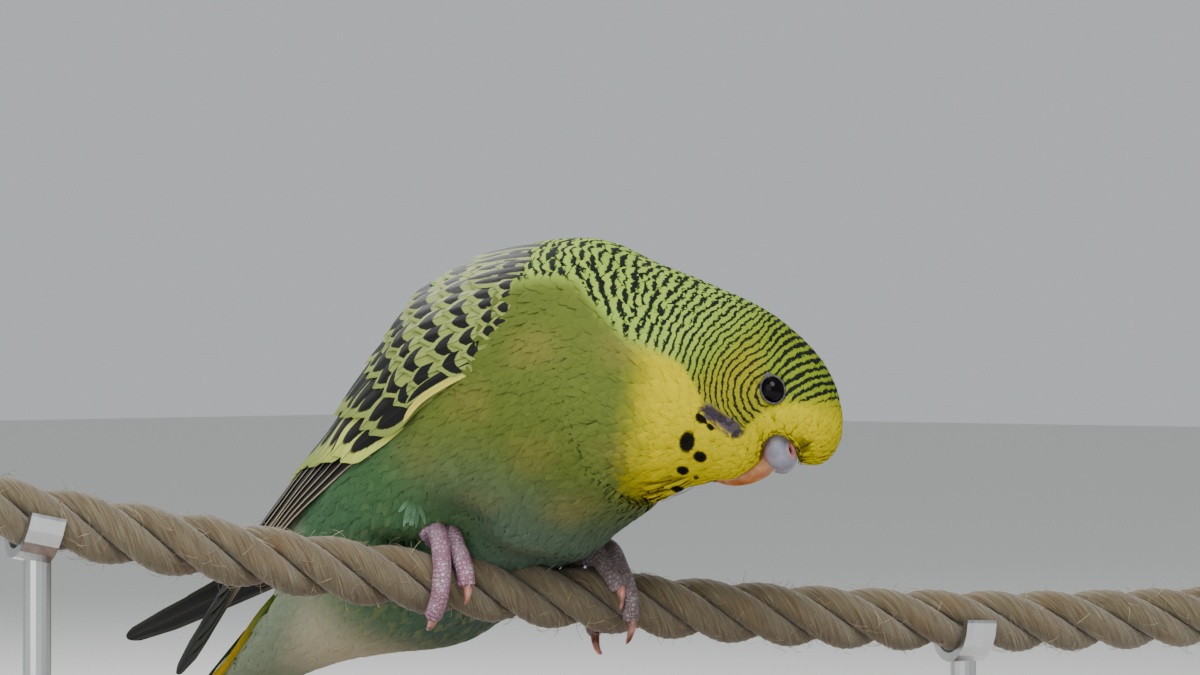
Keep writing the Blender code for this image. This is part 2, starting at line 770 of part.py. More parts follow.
def tier(count, roots, tips, depths, half, steps):
    """A row of feathers: station and angle at the first and last root and tip."""
    specs = []
    for i in range(count):
        f = i / max(1, count - 1)
        s0, s1 = roots[0] + (roots[2] - roots[0]) * f, tips[0] + (tips[2] - tips[0]) * f
        d0, d1 = roots[1] + (roots[3] - roots[1]) * f, tips[1] + (tips[3] - tips[1]) * f
        lift = TIER_STEP * (i % 2)
        specs.append((s0, d0, s1, d1, depths[0], depths[1] + lift, half, steps))
    return specs


VANE_THICK = 0.75
VANE_CURL = 20.0        # radius of the curve across a feather
TIER_STEP = 0.25        # every second feather of a row lies this much deeper

# rows of the wing from its lowest layer up:
# count, first root (station, angle) to last, first tip to last, depths, half width, steps
TIERS = [
    (5, (4.6, 72, 4.2, 48), (0.15, 95, 1.75, 40), (2.0, 0.9), 3.05, 5),     # primaries
    (6, (6.3, 76, 5.7, 14), (3.1, 68, 2.3, 24), (1.9, 0.7), 3.1, 4),        # secondaries
    (5, (7.3, 77, 6.4, 15), (5.2, 77, 4.3, 15), (1.9, 0.5), 3.5, 3),        # greater coverts
    (5, (8.2, 77, 7.4, 25), (6.5, 77, 5.7, 18), (1.9, 0.35), 3.75, 3),      # median coverts
    (3, (8.7, 75, 8.4, 50), (7.6, 77, 7.0, 34), (1.9, 0.25), 3.5, 3),       # lesser coverts
]
SLAB_TOP = 1.5
SLAB_END = 1.9
ROOM_AHEAD = 0.12       # the body's room for the wing reaches past its bend
ROOM_UPPER = 18.0       # and past its upper edge, degrees
ROOM_LOWER = [124, 119, 112, 105, 98, 93, 91, 91, 89, 85]    # its lower edge at the wing's stations


def make_wings(home, look):
    """Each wing is a thin shell that carries rows of overlapping feathers."""
    for name, side in (("wing_right", 1), ("wing_left", -1)):
        wing = mesh_object(name, *wing_shell(SLAB_END, STATION_BEND, 9, 4, SLAB_TOP,
                                             WING_DEPTH, side), home, look["wing"])
        pieces = []
        for count, roots, tips, depths, half, steps in TIERS:
            for spec in tier(count, roots, tips, depths, half, steps):
                pieces.append(wing_vane(spec, side, home))
        boolean(wing, pieces, "UNION", "MANIFOLD")
        wing.data.name = name


TAIL_ROOT = -54.0
TAIL_OFF = -33.4        # upper side of the middle pair
TAIL_LAYER = 0.85       # each pair lies this much under the one before
TAIL_PAIRS = 6
TAIL_LONG = -122.0
TAIL_SHORT = -76.0
TAIL_HALF = 3.0
TAIL_CLOSE = 1.8        # the middle pair's tips lie this much nearer the middle plane
TAIL_CROSS = 0.3        # and its right feather this much under the left one


def make_tail(home, look):
    """Coverts that carry six pairs of stepped tail feathers."""
    rings = []
    angles = (np.arange(16) + 0.37) * 2 * pi / 16
    for i in range(5):
        s = STATION_TAIL - 0.03 - (STATION_TAIL - 0.33) * i / 4
        rings.append(ring(row_at(BODY, s), angles))
    tail = mesh_object("tail", *loft(rings), home, look["tail"])
    pieces = []
    for k in range(TAIL_PAIRS):
        f = k / (TAIL_PAIRS - 1)
        end = TAIL_LONG + (TAIL_SHORT - TAIL_LONG) * f ** 0.85
        for side in (1, -1):
            middle = []
            for i in range(6):
                g = i / 5
                t = TAIL_ROOT + (end - TAIL_ROOT) * g
                x = side * (2.9 + 0.45 * k + 0.5 * k * g)
                off = TAIL_OFF + TAIL_LAYER * k + 0.4 * g
                if k == 0:
                    x -= side * TAIL_CLOSE * g
                    off += side * TAIL_CROSS * g
                middle.append(axis_point(t, off) + RIGHT * x)
            pieces.append(vane(np.array(middle), [-BELLY] * 6, TAIL_HALF, 0.6, home))
    # coverts over and under the feathers' roots
    for out, off, reach, rows in ((-BELLY, -34.6, -74.0, 3), (BELLY, -25.4, -78.0, 4)):
        for i in range(rows):
            g = (i - (rows - 1) / 2) / max(1, (rows - 1) / 2)
            middle = [axis_point(-50.0 + (reach + 50.0 + abs(g) * 7) * j / 4,
                                 off + (1 if off > -30 else -1) * 0.3
                                 - (1.6 if off > -30 else -0.6) * j / 4)
                      + RIGHT * g * (4.6 - 1.1 * j / 4) for j in range(5)]
            pieces.append(vane(np.array(middle), [out] * 5, 2.7, 0.8, home))
    boolean(tail, pieces, "UNION", "MANIFOLD")
    tail.data.name = "tail"


# model
def main():
    for old in list(bpy.data.objects):
        bpy.data.objects.remove(old)
    home = collection("budgerigar")
    look = {
        "belly": material("belly", (0.16, 0.20, 0.06)),
        "nape": material("nape", (0.30, 0.38, 0.10)),
        "face": material("face", (0.62, 0.47, 0.03)),
        "wing": material("wing", (0.06, 0.07, 0.03)),
        "tail": material("tail", (0.03, 0.08, 0.07)),
        "eye": material("eye", (0.01, 0.01, 0.012), 0.1),
        "cere": material("cere", (0.50, 0.48, 0.58), 0.5),
        "bill": material("bill", (0.55, 0.32, 0.10), 0.4),
        "foot": material("foot", (0.50, 0.32, 0.32), 0.6),
    }
    fibre = material("fibre", (0.40, 0.28, 0.16), 0.9)
    board = material("board", (0.20, 0.20, 0.20), 0.5)
    steel = material("steel", (0.55, 0.55, 0.56), 0.35, 1.0)
    make_rope(home, fibre)
    make_stand(home, board, steel)
    made = make_flesh(home, look)
    make_head(home, look, made["head"])
    made["head"].data.name = "head"
    make_feet(home, look)
    cut_body(home, made)
    make_wings(home, look)
    make_tail(home, look)


main()
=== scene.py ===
"""Looks of the display budgerigar: skin, feathers, bill, eyes, feet, rope and stand.

Laid out as a Blender add-on and run as a script. Inside this file lengths are
millimetres from the perch point, the middle of the rope between the feet; put()
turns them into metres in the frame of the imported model.
"""
from math import atan2, cos, pi, radians, sin, sqrt

import bmesh
import bpy
import numpy as np
from bpy.props import FloatProperty, FloatVectorProperty, IntProperty, PointerProperty
from bpy.types import Operator, Panel, PropertyGroup
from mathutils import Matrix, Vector
from mathutils.bvhtree import BVHTree


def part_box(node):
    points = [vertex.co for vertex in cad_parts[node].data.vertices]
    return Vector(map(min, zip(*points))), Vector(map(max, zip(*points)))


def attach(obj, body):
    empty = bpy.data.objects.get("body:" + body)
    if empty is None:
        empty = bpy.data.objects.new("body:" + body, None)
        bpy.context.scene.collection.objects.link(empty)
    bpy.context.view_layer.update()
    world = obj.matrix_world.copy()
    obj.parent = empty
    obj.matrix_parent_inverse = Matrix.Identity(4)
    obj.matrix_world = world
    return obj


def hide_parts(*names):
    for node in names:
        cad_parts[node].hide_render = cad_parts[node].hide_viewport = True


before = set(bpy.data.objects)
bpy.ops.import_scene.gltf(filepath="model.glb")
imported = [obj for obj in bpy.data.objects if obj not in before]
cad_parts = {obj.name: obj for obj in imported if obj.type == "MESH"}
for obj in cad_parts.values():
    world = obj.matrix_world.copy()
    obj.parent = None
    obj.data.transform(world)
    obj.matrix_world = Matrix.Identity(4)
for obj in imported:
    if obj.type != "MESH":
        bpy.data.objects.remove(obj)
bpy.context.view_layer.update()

bl_info = {
    "name": "Display Budgerigar",
    "version": (1, 0, 0),
    "blender": (4, 5, 0),
    "location": "3D View > Sidebar > Budgerigar",
    "description": "Plumage, horn, skin, rope and stand of a life-size budgerigar",
    "category": "Object",
}

MM = 0.001
GAP = 0.3
BOARD_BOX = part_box("stand_base")
ROPE_HEIGHT = 68.0      # rope centre at the perch point above the underside of the base
VIEW_TURN = radians(42.0)
BODY_PITCH = radians(42.0)


# directions and places
def unit(v):
    v = np.asarray(v, float)
    return v / np.linalg.norm(v, axis=-1, keepdims=True)


def seen(a, b, z):
    """Vector from the viewer's right, depth and height to the bird's own frame."""
    return np.array([sin(VIEW_TURN) * a + cos(VIEW_TURN) * b,
                     -cos(VIEW_TURN) * a + sin(VIEW_TURN) * b, z])


def put(p):
    """Millimetres from the perch point to metres above the stand's underside."""
    p = np.array(p, float)
    p[..., 2] += ROPE_HEIGHT
    return p * MM


SPINE = np.array([0.0, -cos(BODY_PITCH), sin(BODY_PITCH)])
BELLY = np.array([0.0, -sin(BODY_PITCH), -cos(BODY_PITCH)])
RIGHT = np.array([-1.0, 0.0, 0.0])
FACE = unit(seen(0.31, -0.10, -0.945))
CROWN = seen(0.95, 0.0, 0.31)
CROWN = unit(CROWN - FACE * np.dot(CROWN, FACE))
CHEEK = np.cross(FACE, CROWN)
HEAD = np.array([16.5, -39.3, 31.5])


def axis_point(t, off):
    """Point of the body's middle plane, t along the spine, off towards the belly."""
    return SPINE * t + BELLY * off


def head_point(face, crown, cheek=0.0):
    return HEAD + FACE * face + CROWN * crown + CHEEK * cheek


def head_place(p):
    """Face, crown and cheek coordinates of points."""
    q = p - HEAD
    return q @ FACE, q @ CROWN, q @ CHEEK


def body_row(t, back, belly, half, squareness=2.05, tilt=0.0):
    return [*axis_point(t + tilt, back), *axis_point(t - tilt, belly), *RIGHT,
            half, 0.5, squareness]


def head_row(crown, back, front, half, widest=0.5, squareness=2.1):
    return [*head_point(back, crown), *head_point(front, crown), *CHEEK,
            half, widest, squareness]


# rings of the body from the tail's root to the crown:
# back point, belly point, right-hand direction, half width, widest place, squareness
BODY = [
    body_row(-74, -34.2, -28.2, 5.5),
    body_row(-56, -35, -25, 9),
    body_row(-42, -36, -19, 11.5),
    body_row(-30, -39, -11.5, 15),
    body_row(-18, -42, -3.5, 18.5),
    body_row(-6, -43.8, -1, 21),
    body_row(4, -45, 1, 22.3),
    body_row(13, -46, 3.5, 22.5, tilt=1),
    body_row(21, -46, 4, 22, tilt=4),
    [0, -4, 55.5, 1.5, -24.5, 14.0, -1, -0.12, 0, 20.5, 0.5, 2.1],
    [*head_point(-32, -18), *head_point(8.5, -25), *(RIGHT + CHEEK), 16.5, 0.5, 2.1],
    head_row(-10, -25, 10.4, 13),
    head_row(-2.5, -18.6, 9.8, 11.2, 0.55),
    head_row(1.2, -15.2, 12.0, 10.6, 0.55),
    head_row(4.5, -11.5, 12.5, 9.7, 0.52),
    head_row(7.6, -6.3, 10.4, 7.3),
    head_row(9.3, -2, 6.8, 4),
    head_row(9.9, 1.8, 2.2, 0.3),
]
CROWN_STATION = len(BODY) - 1

# the folded wings' outer surface: as the body's from the sixth ring on
WING = [
    body_row(-72, -43.5, -38.5, 1.2),
    body_row(-58, -44, -35, 4.5),
    body_row(-44, -44, -29, 8.5),
    body_row(-30, -44, -19, 13.5),
    body_row(-18, -44, -8, 18),
] + BODY[5:11]
WING_STATIONS = [0.0, 1.0, 2.0, 3.0, 4.0, 5.0, 6.0, 7.0, 8.0, 8.8]
WING_UPPER = [20, 10, 6, 3.5, 2.5, 2.5, 4, 10, 28, 56]
WING_LOWER = [120, 104, 88, 72, 66, 70, 80, 86, 84, 80]


def rows_at(rows, s):
    """Catmull-Rom values between the rows at stations s."""
    rows = np.asarray(rows, float)
    s = np.atleast_1d(np.asarray(s, float))
    last = len(rows) - 1
    i = np.clip(s, 0, last - 1e-6).astype(int)
    t = (s - i)[:, None]
    b, c = rows[i], rows[i + 1]
    a = np.where((i > 0)[:, None], rows[np.maximum(i - 1, 0)], 2 * b - c)
    d = np.where((i + 2 <= last)[:, None], rows[np.minimum(i + 2, last)], 2 * c - b)
    return 0.5 * (2 * b + (c - a) * t + (2 * a - 5 * b + 4 * c - d) * t * t
                  + (3 * b - a - 3 * c + d) * t ** 3)


def ring_points(rows, s, degrees):
    """Points of the outline at stations and angles; 0 is the back, 90 the bird's right."""
    row = rows_at(rows, s)
    angles = np.radians(np.atleast_1d(degrees))
    back, front = row[:, 0:3], row[:, 3:6]
    long = front - back
    length = np.linalg.norm(long, axis=1)
    down = long / length[:, None]
    side = unit(row[:, 6:9])
    side = unit(side - down * np.sum(side * down, axis=1)[:, None])
    half, widest, power = row[:, 9], row[:, 10], 2.0 / row[:, 11]
    cs, sn = np.cos(angles), np.sin(angles)
    reach = np.where(cs > 0, widest * length, (1 - widest) * length)
    along = -np.sign(cs) * np.abs(cs) ** power * reach
    across = np.sign(sn) * np.abs(sn) ** power * half
    return back + long * widest[:, None] + along[:, None] * down + across[:, None] * side


def cross_left(p, s):
    """Mirror to the left wing, whose tip lies above and across the right one's."""
    p = p * np.array([-1, 1, 1])
    lift = np.maximum(0.0, (3.0 - s) / 3.0)[:, None]
    return p - np.array([8.0, 0, 0]) * lift ** 3.2 - BELLY * 9.0 * lift ** 0.9


def smooth(low, high, x):
    t = np.clip((np.asarray(x, float) - low) / (high - low), 0, 1)
    return t * t * (3 - 2 * t)


class Outline:
    """Fine grid of an outline that gives the nearest place, its normal, station and angle."""

    def __init__(self, rows, stations, angles, relief=None):
        s, d = np.meshgrid(stations, angles, indexing="ij")
        self.place = np.stack([s.ravel(), d.ravel()], axis=1)
        self.points = ring_points(rows, s.ravel(), d.ravel())
        wide = len(angles)
        i, k = np.meshgrid(np.arange(len(stations) - 1), np.arange(wide - 1), indexing="ij")
        a = (i * wide + k).ravel()
        self.tris = np.concatenate([np.stack([a, a + 1, a + wide + 1], 1),
                                    np.stack([a, a + wide + 1, a + wide], 1)])
        self.measure(rows, stations, angles)
        if relief is not None:
            self.points = self.points + self.normals * relief(self.points)[:, None]
            self.measure(rows, stations, angles)
        self.tree = BVHTree.FromPolygons(self.points.tolist(), self.tris.tolist())

    def measure(self, rows, stations, angles):
        """Normals of the points and areas of the triangles."""
        wide = len(angles)
        normals = np.zeros_like(self.points)
        p = self.points[self.tris]
        flat = np.cross(p[:, 1] - p[:, 0], p[:, 2] - p[:, 0])
        for corner in range(3):
            np.add.at(normals, self.tris[:, corner], flat)
        if abs(angles[-1] - angles[0] - 360) < 1e-6:
            first, last = np.arange(0, len(normals), wide), np.arange(wide - 1, len(normals), wide)
            normals[first] = normals[last] = normals[first] + normals[last]
        self.normals = unit(normals)
        middle = ring_points(rows, [stations[len(stations) // 2]] * 2, [0, 180]).mean(axis=0)
        probe = len(stations) // 2 * wide + wide // 2
        if np.dot(self.normals[probe], self.points[probe] - middle) < 0:
            self.normals = -self.normals
        self.area = np.linalg.norm(flat, axis=1) / 2

    def nearest(self, q):
        """Nearest point of the outline, its normal and its station and angle."""
        found = [self.tree.find_nearest(Vector(v)) for v in q]
        hit = np.array([f[0] for f in found])
        tri = self.tris[[f[2] for f in found]]
        a, b, c = (self.points[tri[:, k]] for k in range(3))
        v0, v1, v2 = b - a, c - a, hit - a
        d00, d01, d11 = (v0 * v0).sum(1), (v0 * v1).sum(1), (v1 * v1).sum(1)
        d20, d21 = (v2 * v0).sum(1), (v2 * v1).sum(1)
        base = np.maximum(d00 * d11 - d01 * d01, 1e-15)
        v = np.clip((d11 * d20 - d01 * d21) / base, 0, 1)
        w = np.clip((d00 * d21 - d01 * d20) / base, 0, 1)
        weights = np.stack([1 - v - w, v, w], 1)[:, :, None]
        normal = unit((self.normals[tri] * weights).sum(1))
        return hit, normal, (self.place[tri] * weights).sum(1)


# meshes
def build_mesh(name, points, tris, look, vectors=None, colours=None, uv=None, smoothed=True,
               rim=None, soft=None):
    """Mesh object at the origin from arrays, with its point attributes and bake map."""
    tris = np.asarray(tris, np.int32)
    mesh = bpy.data.meshes.new(name)
    mesh.vertices.add(len(points))
    mesh.vertices.foreach_set("co", put(points).astype(np.float32).ravel())
    mesh.loops.add(tris.size)
    mesh.loops.foreach_set("vertex_index", tris.ravel())
    mesh.polygons.add(len(tris))
    mesh.polygons.foreach_set("loop_start", np.arange(0, tris.size, tris.shape[1], dtype=np.int32))
    mesh.update(calc_edges=True)
    if smoothed:
        mesh.shade_smooth()
    if rim is not None:
        # the edge between a vane's upper and under side stays crisp
        ends = np.empty(len(mesh.edges) * 2, np.int32)
        mesh.edges.foreach_get("vertices", ends)
        crisp = np.asarray(rim, bool)[ends.reshape(-1, 2)].all(axis=1)
        mesh.attributes.new("sharp_edge", "BOOLEAN", "EDGE").data.foreach_set("value", crisp)
    for key, values in (vectors or {}).items():
        mesh.attributes.new(key, "FLOAT_VECTOR", "POINT").data.foreach_set(
            "vector", np.asarray(values, np.float32).ravel())
    for key, values in (colours or {}).items():
        rgba = np.concatenate([values, np.ones((len(values), 1))], axis=1)
        mesh.attributes.new(key, "FLOAT_COLOR", "POINT").data.foreach_set(
            "color", rgba.astype(np.float32).ravel())
    if uv is not None:
        layer = mesh.uv_layers.new(name="OFBake")
        layer.data.foreach_set("uv", np.asarray(uv, np.float32)[tris.ravel()].ravel())
    if soft is not None:
        # plumage is lit as one soft surface, not vane by vane
        mesh.normals_split_custom_set_from_vertices(unit(soft).astype(np.float32))
    mesh.materials.append(look)
    made = bpy.data.objects.new(name, mesh)
    bpy.context.scene.collection.objects.link(made)
    return made


def loft(rings, caps=True):
    """Points and triangles of a closed skin over rings of equal count."""
    rings = np.asarray(rings, float)
    count, sides = rings.shape[:2]
    i, k = np.meshgrid(np.arange(count - 1), np.arange(sides), indexing="ij")
    n = (k + 1) % sides
    a, b, c, d = i * sides + k, i * sides + n, (i + 1) * sides + n, (i + 1) * sides + k
    tris = np.concatenate([np.stack([a, b, c], -1).reshape(-1, 3),
                           np.stack([a, c, d], -1).reshape(-1, 3)])
    points = rings.reshape(-1, 3)
    if caps:
        low, high = len(points), len(points) + 1
        points = np.vstack([points, rings[0].mean(0), rings[-1].mean(0)])
        k = np.arange(sides)
        n = (k + 1) % sides
        first = np.stack([np.full(sides, low), n, k], 1)
        last = np.stack([np.full(sides, high), (count - 1) * sides + k,
                         (count - 1) * sides + n], 1)
        tris = np.concatenate([tris, first, last])
    return points, tris


def outward(points, tris):
    """Triangles turned so that the closed surface has a positive volume."""
    p = points[tris]
    volume = np.einsum("ij,ij->i", p[:, 0], np.cross(p[:, 1], p[:, 2])).sum()
    return tris if volume > 0 else tris[:, ::-1]


def spline(points, count):
    """Smooth curve through points."""
    points = np.asarray(points, float)
    return rows_at(points, np.linspace(0, len(points) - 1, count))


def tube_rings(path, radii, sides, up=(0, 0, 1)):
    """Rings round a path, and the side and over directions of each."""
    path = np.asarray(path, float)
    ahead = unit(np.gradient(path, axis=0))
    side = unit(np.cross(ahead, np.asarray(up, float)))
    over = np.cross(side, ahead)
    angles = np.arange(sides) * 2 * pi / sides
    radii = np.asarray(radii, float)
    if radii.ndim == 1:
        radii = radii[:, None] * np.ones(sides)
    return path[:, None] + radii[..., None] * (np.cos(angles)[None, :, None] * side[:, None]
                                               + np.sin(angles)[None, :, None] * over[:, None])


def joined(parts):
    """Points and triangles of several closed meshes as one."""
    points, tris, start = [], [], 0
    for p, t in parts:
        points.append(p)
        tris.append(outward(p, t) + start)
        start += len(p)
    return np.vstack(points), np.vstack(tris)


def ball(centre, radii, axes, rings=24, sides=32):
    """Ellipsoid with its own axes; its poles lie on the third."""
    phi = np.linspace(0, pi, rings + 1)[1:-1]
    th = np.arange(sides) * 2 * pi / sides
    x = np.sin(phi)[:, None] * np.cos(th) * radii[0]
    y = np.sin(phi)[:, None] * np.sin(th) * radii[1]
    z = np.cos(phi)[:, None] * np.ones(sides) * radii[2]
    rows = (np.asarray(centre) + x[..., None] * axes[0] + y[..., None] * axes[1]
            + z[..., None] * axes[2])
    points, tris = loft(rows)
    points[-2] = np.asarray(centre) + axes[2] * radii[2]
    points[-1] = np.asarray(centre) - axes[2] * radii[2]
    return points, outward(points, tris)


def fused(name, parts, voxel, look, smoothing=4):
    """Overlapping closed meshes made one skin."""
    made = build_mesh(name, *joined(parts), look)
    step = made.modifiers.new("fuse", "REMESH")
    step.mode = "VOXEL"
    step.voxel_size = voxel * MM
    step.use_smooth_shade = True
    soft = made.modifiers.new("soft", "SMOOTH")
    soft.factor = 0.5
    soft.iterations = smoothing
    apply_modifiers(made)
    return made


def apply_modifiers(made):
    view = bpy.context.evaluated_depsgraph_get()
    result = bpy.data.meshes.new_from_object(made.evaluated_get(view))
    made.modifiers.clear()
    old = made.data
    result.name = made.name
    made.data = result
    bpy.data.meshes.remove(old)


# shader nodes
def linear(red, green, blue):
    """Colour as a screen shows it, 0 to 255, to the linear values that Blender uses."""
    c = np.array([red, green, blue]) / 255.0
    return tuple(float(v) for v in np.where(c <= 0.04045, c / 12.92, ((c + 0.055) / 1.055) ** 2.4))


class Tree:
    """Short way to place and join shader nodes."""

    def __init__(self, tree):
        self.tree = tree

    def node(self, kind, inputs=None, **settings):
        made = self.tree.nodes.new(kind)
        for key, value in settings.items():
            setattr(made, key, value)
        for key, value in (inputs or {}).items():
            socket = made.inputs[key]
            if isinstance(value, bpy.types.NodeSocket):
                self.tree.links.new(value, socket)
            else:
                socket.default_value = value
        return made

    def math(self, operation, a, b=0.0, c=0.0):
        return self.node("ShaderNodeMath", {0: a, 1: b, 2: c}, operation=operation).outputs[0]

    def mix(self, a, b, factor, blend="MIX"):
        made = self.node("ShaderNodeMix", {"Factor": factor}, data_type="RGBA", blend_type=blend)
        for socket, value in ((made.inputs[6], a), (made.inputs[7], b)):
            if isinstance(value, bpy.types.NodeSocket):
                self.tree.links.new(value, socket)
            else:
                socket.default_value = (*value, 1.0)
        return made.outputs[2]

    def ramp(self, value, low, high):
        made = self.node("ShaderNodeMapRange", {"Value": value, "From Min": low, "From Max": high},
                         interpolation_type="SMOOTHSTEP")
        return made.outputs[0]

    def attribute(self, name):
        return self.node("ShaderNodeAttribute", attribute_name=name)

    def noise(self, vector, scale, detail=2.0, roughness=0.5):
        return self.node("ShaderNodeTexNoise", {"Vector": vector, "Scale": scale,
                                                "Detail": detail, "Roughness": roughness}).outputs[0]

    def place(self, scale=(1, 1, 1), turn=(0, 0, 0)):
        here = self.node("ShaderNodeTexCoord").outputs["Object"]
        return self.node("ShaderNodeMapping", {"Vector": here, "Scale": scale,
                                               "Rotation": turn}).outputs[0]


def group(name, inputs, outputs):
    """Shader node group with named sockets, and its input and output nodes."""
    made = bpy.data.node_groups.new(name, "ShaderNodeTree")
    kinds = {"f": "NodeSocketFloat", "v": "NodeSocketVector", "c": "NodeSocketColor"}
    for key, (kind, value) in inputs.items():
        socket = made.interface.new_socket(key, in_out="INPUT", socket_type=kinds[kind])
        if value is not None:
            socket.default_value = value
    for key, kind in outputs.items():
        made.interface.new_socket(key, in_out="OUTPUT", socket_type=kinds[kind])
    tree = Tree(made)
    return made, tree, made.nodes.new("NodeGroupInput"), made.nodes.new("NodeGroupOutput")


def barb_group():
    """Fine slanting lines of barbs on a vane, and the darker shaft."""
    if "Barb lines" in bpy.data.node_groups:
        return bpy.data.node_groups["Barb lines"]
    made, t, ins, outs = group("Barb lines", {"Vane": ("v", None), "Lines": ("f", 18.0),
                                              "Slant": ("f", 6.0)},
                               {"Streak": "f", "Height": "f", "Shaft": "f"})
    parts = t.node("ShaderNodeSeparateXYZ", {0: ins.outputs["Vane"]})
    side = t.math("ABSOLUTE", parts.outputs[0])
    run = t.math("SUBTRACT", t.math("MULTIPLY", parts.outputs[1], ins.outputs["Lines"]),
                 t.math("MULTIPLY", side, ins.outputs["Slant"]))
    chance = t.math("MULTIPLY", parts.outputs[2], 37.0)
    where = t.node("ShaderNodeCombineXYZ", {0: run, 1: parts.outputs[0], 2: chance}).outputs[0]
    broad = t.noise(where, 1.1, 2.0)
    fine = t.math("SINE", t.math("MULTIPLY", run, 2 * pi))
    t.tree.links.new(broad, outs.inputs["Streak"])
    t.tree.links.new(t.math("ADD", t.math("MULTIPLY", fine, 0.25), broad), outs.inputs["Height"])
    t.tree.links.new(t.math("SUBTRACT", 1.0, t.ramp(side, 0.03, 0.09)), outs.inputs["Shaft"])
    return made


def new_material(name, roughness, **fixed):
    """Material with its shader's constant sockets set, and its short node maker."""
    made = bpy.data.materials.new(name)
    made.use_nodes = True
    shader = made.node_tree.nodes["Principled BSDF"]
    shader.inputs["Roughness"].default_value = roughness
    for key, value in fixed.items():
        shader.inputs[key.replace("_", " ")].default_value = value
    return made, Tree(made.node_tree), shader


def bump(t, shader, height, strength, distance):
    made = t.node("ShaderNodeBump", {"Height": height, "Strength": strength, "Distance": distance})
    t.tree.links.new(made.outputs[0], shader.inputs["Normal"])


def plumage_material():
    """Body feathers and skin: region colour, black bars and throat spots from attributes."""
    if "plumage" in bpy.data.materials:
        return bpy.data.materials["plumage"]
    tints = bpy.context.scene.budgie_colours
    made, t, shader = new_material("plumage", 0.75, Specular_IOR_Level=0.05)
    tint = t.attribute("tint").outputs["Color"]
    mark = t.node("ShaderNodeSeparateXYZ", {0: t.attribute("mark").outputs["Vector"]})
    barbs = t.node("ShaderNodeGroup", {}, node_tree=barb_group())
    t.tree.links.new(t.attribute("vane").outputs["Vector"], barbs.inputs["Vane"])
    barbs.inputs["Lines"].default_value = 13.0
    barbs.inputs["Slant"].default_value = 22.0
    streak = barbs.outputs["Streak"]
    wander = t.math("ADD", t.math("MULTIPLY", t.noise(t.place(), 620.0, 2.0), 0.75),
                    t.math("MULTIPLY", t.noise(t.place(), 2600.0, 1.0), 0.40))
    phase = t.math("ADD", mark.outputs[0], wander)
    wave = t.math("SINE", t.math("MULTIPLY", phase, 2 * pi))
    wave = t.math("ADD", wave, t.math("MULTIPLY", t.math("SUBTRACT", streak, 0.5), 1.3))
    # weaker ground gives thinner bars
    wave = t.math("ADD", wave, t.math("MULTIPLY_ADD", mark.outputs[1], 2.1, -2.0))
    bar = t.ramp(wave, -0.42, 0.42)
    ragged = t.math("ADD", mark.outputs[2], t.math("MULTIPLY", t.math("SUBTRACT", streak, 0.5), 0.85))
    spot = t.ramp(ragged, -0.12, 0.1)
    shade = t.math("MULTIPLY_ADD", t.math("SUBTRACT", streak, 0.5), 0.50, 1.0)
    scaled = t.node("ShaderNodeVectorMath", {0: tint, "Scale": shade}, operation="SCALE").outputs[0]
    colour = t.mix(scaled, tuple(tints.bar), bar)
    colour = t.mix(colour, tuple(tints.spot), spot)
    t.tree.links.new(colour, shader.inputs["Base Color"])
    bump(t, shader, barbs.outputs["Height"], 0.22, 0.00008)
    return made


def quill_material():
    """Wing and tail feathers: a dark patch inside a pale margin, fine barbs and a shaft."""
    if "quills" in bpy.data.materials:
        return bpy.data.materials["quills"]
    made, t, shader = new_material("quills", 0.55, Specular_IOR_Level=0.16)
    margin = t.attribute("tint").outputs["Color"]
    dark = t.attribute("dark").outputs["Color"]
    vane = t.attribute("vane").outputs["Vector"]
    parts = t.node("ShaderNodeSeparateXYZ", {0: vane})
    patch = t.node("ShaderNodeSeparateXYZ", {0: t.attribute("patch").outputs["Vector"]})
    barbs = t.node("ShaderNodeGroup", {"Vane": vane, "Lines": 26.0, "Slant": 9.0},
                   node_tree=barb_group())
    streak = t.math("SUBTRACT", barbs.outputs["Streak"], 0.5)
    side = parts.outputs[0]
    bowed = t.math("MULTIPLY", t.math("MULTIPLY", side, side), 0.22)
    along = t.math("ADD", parts.outputs[1], bowed)
    along = t.math("ADD", along, t.math("MULTIPLY", streak, 0.05))
    run = t.math("DIVIDE", t.math("SUBTRACT", along, patch.outputs[0]), patch.outputs[1])
    wide = t.math("DIVIDE", t.math("ADD", side, t.math("MULTIPLY", streak, 0.12)), patch.outputs[2])
    run4 = t.math("POWER", t.math("ABSOLUTE", run), 3.0)
    wide4 = t.math("POWER", t.math("ABSOLUTE", wide), 3.0)
    inside = t.math("SUBTRACT", 1.0, t.ramp(t.math("ADD", run4, wide4), 0.8, 1.25))
    shade = t.math("MULTIPLY_ADD", streak, 0.5, 1.0)
    pale = t.node("ShaderNodeVectorMath", {0: margin, "Scale": shade}, operation="SCALE").outputs[0]
    deep = t.node("ShaderNodeVectorMath", {0: dark, "Scale": shade}, operation="SCALE").outputs[0]
    colour = t.mix(pale, deep, inside)
    shaft = t.math("MULTIPLY", barbs.outputs["Shaft"], 0.55)
    colour = t.mix(colour, linear(38, 34, 26), shaft)
    t.tree.links.new(colour, shader.inputs["Base Color"])
    bump(t, shader, barbs.outputs["Height"], 0.3, 0.0001)
    return made


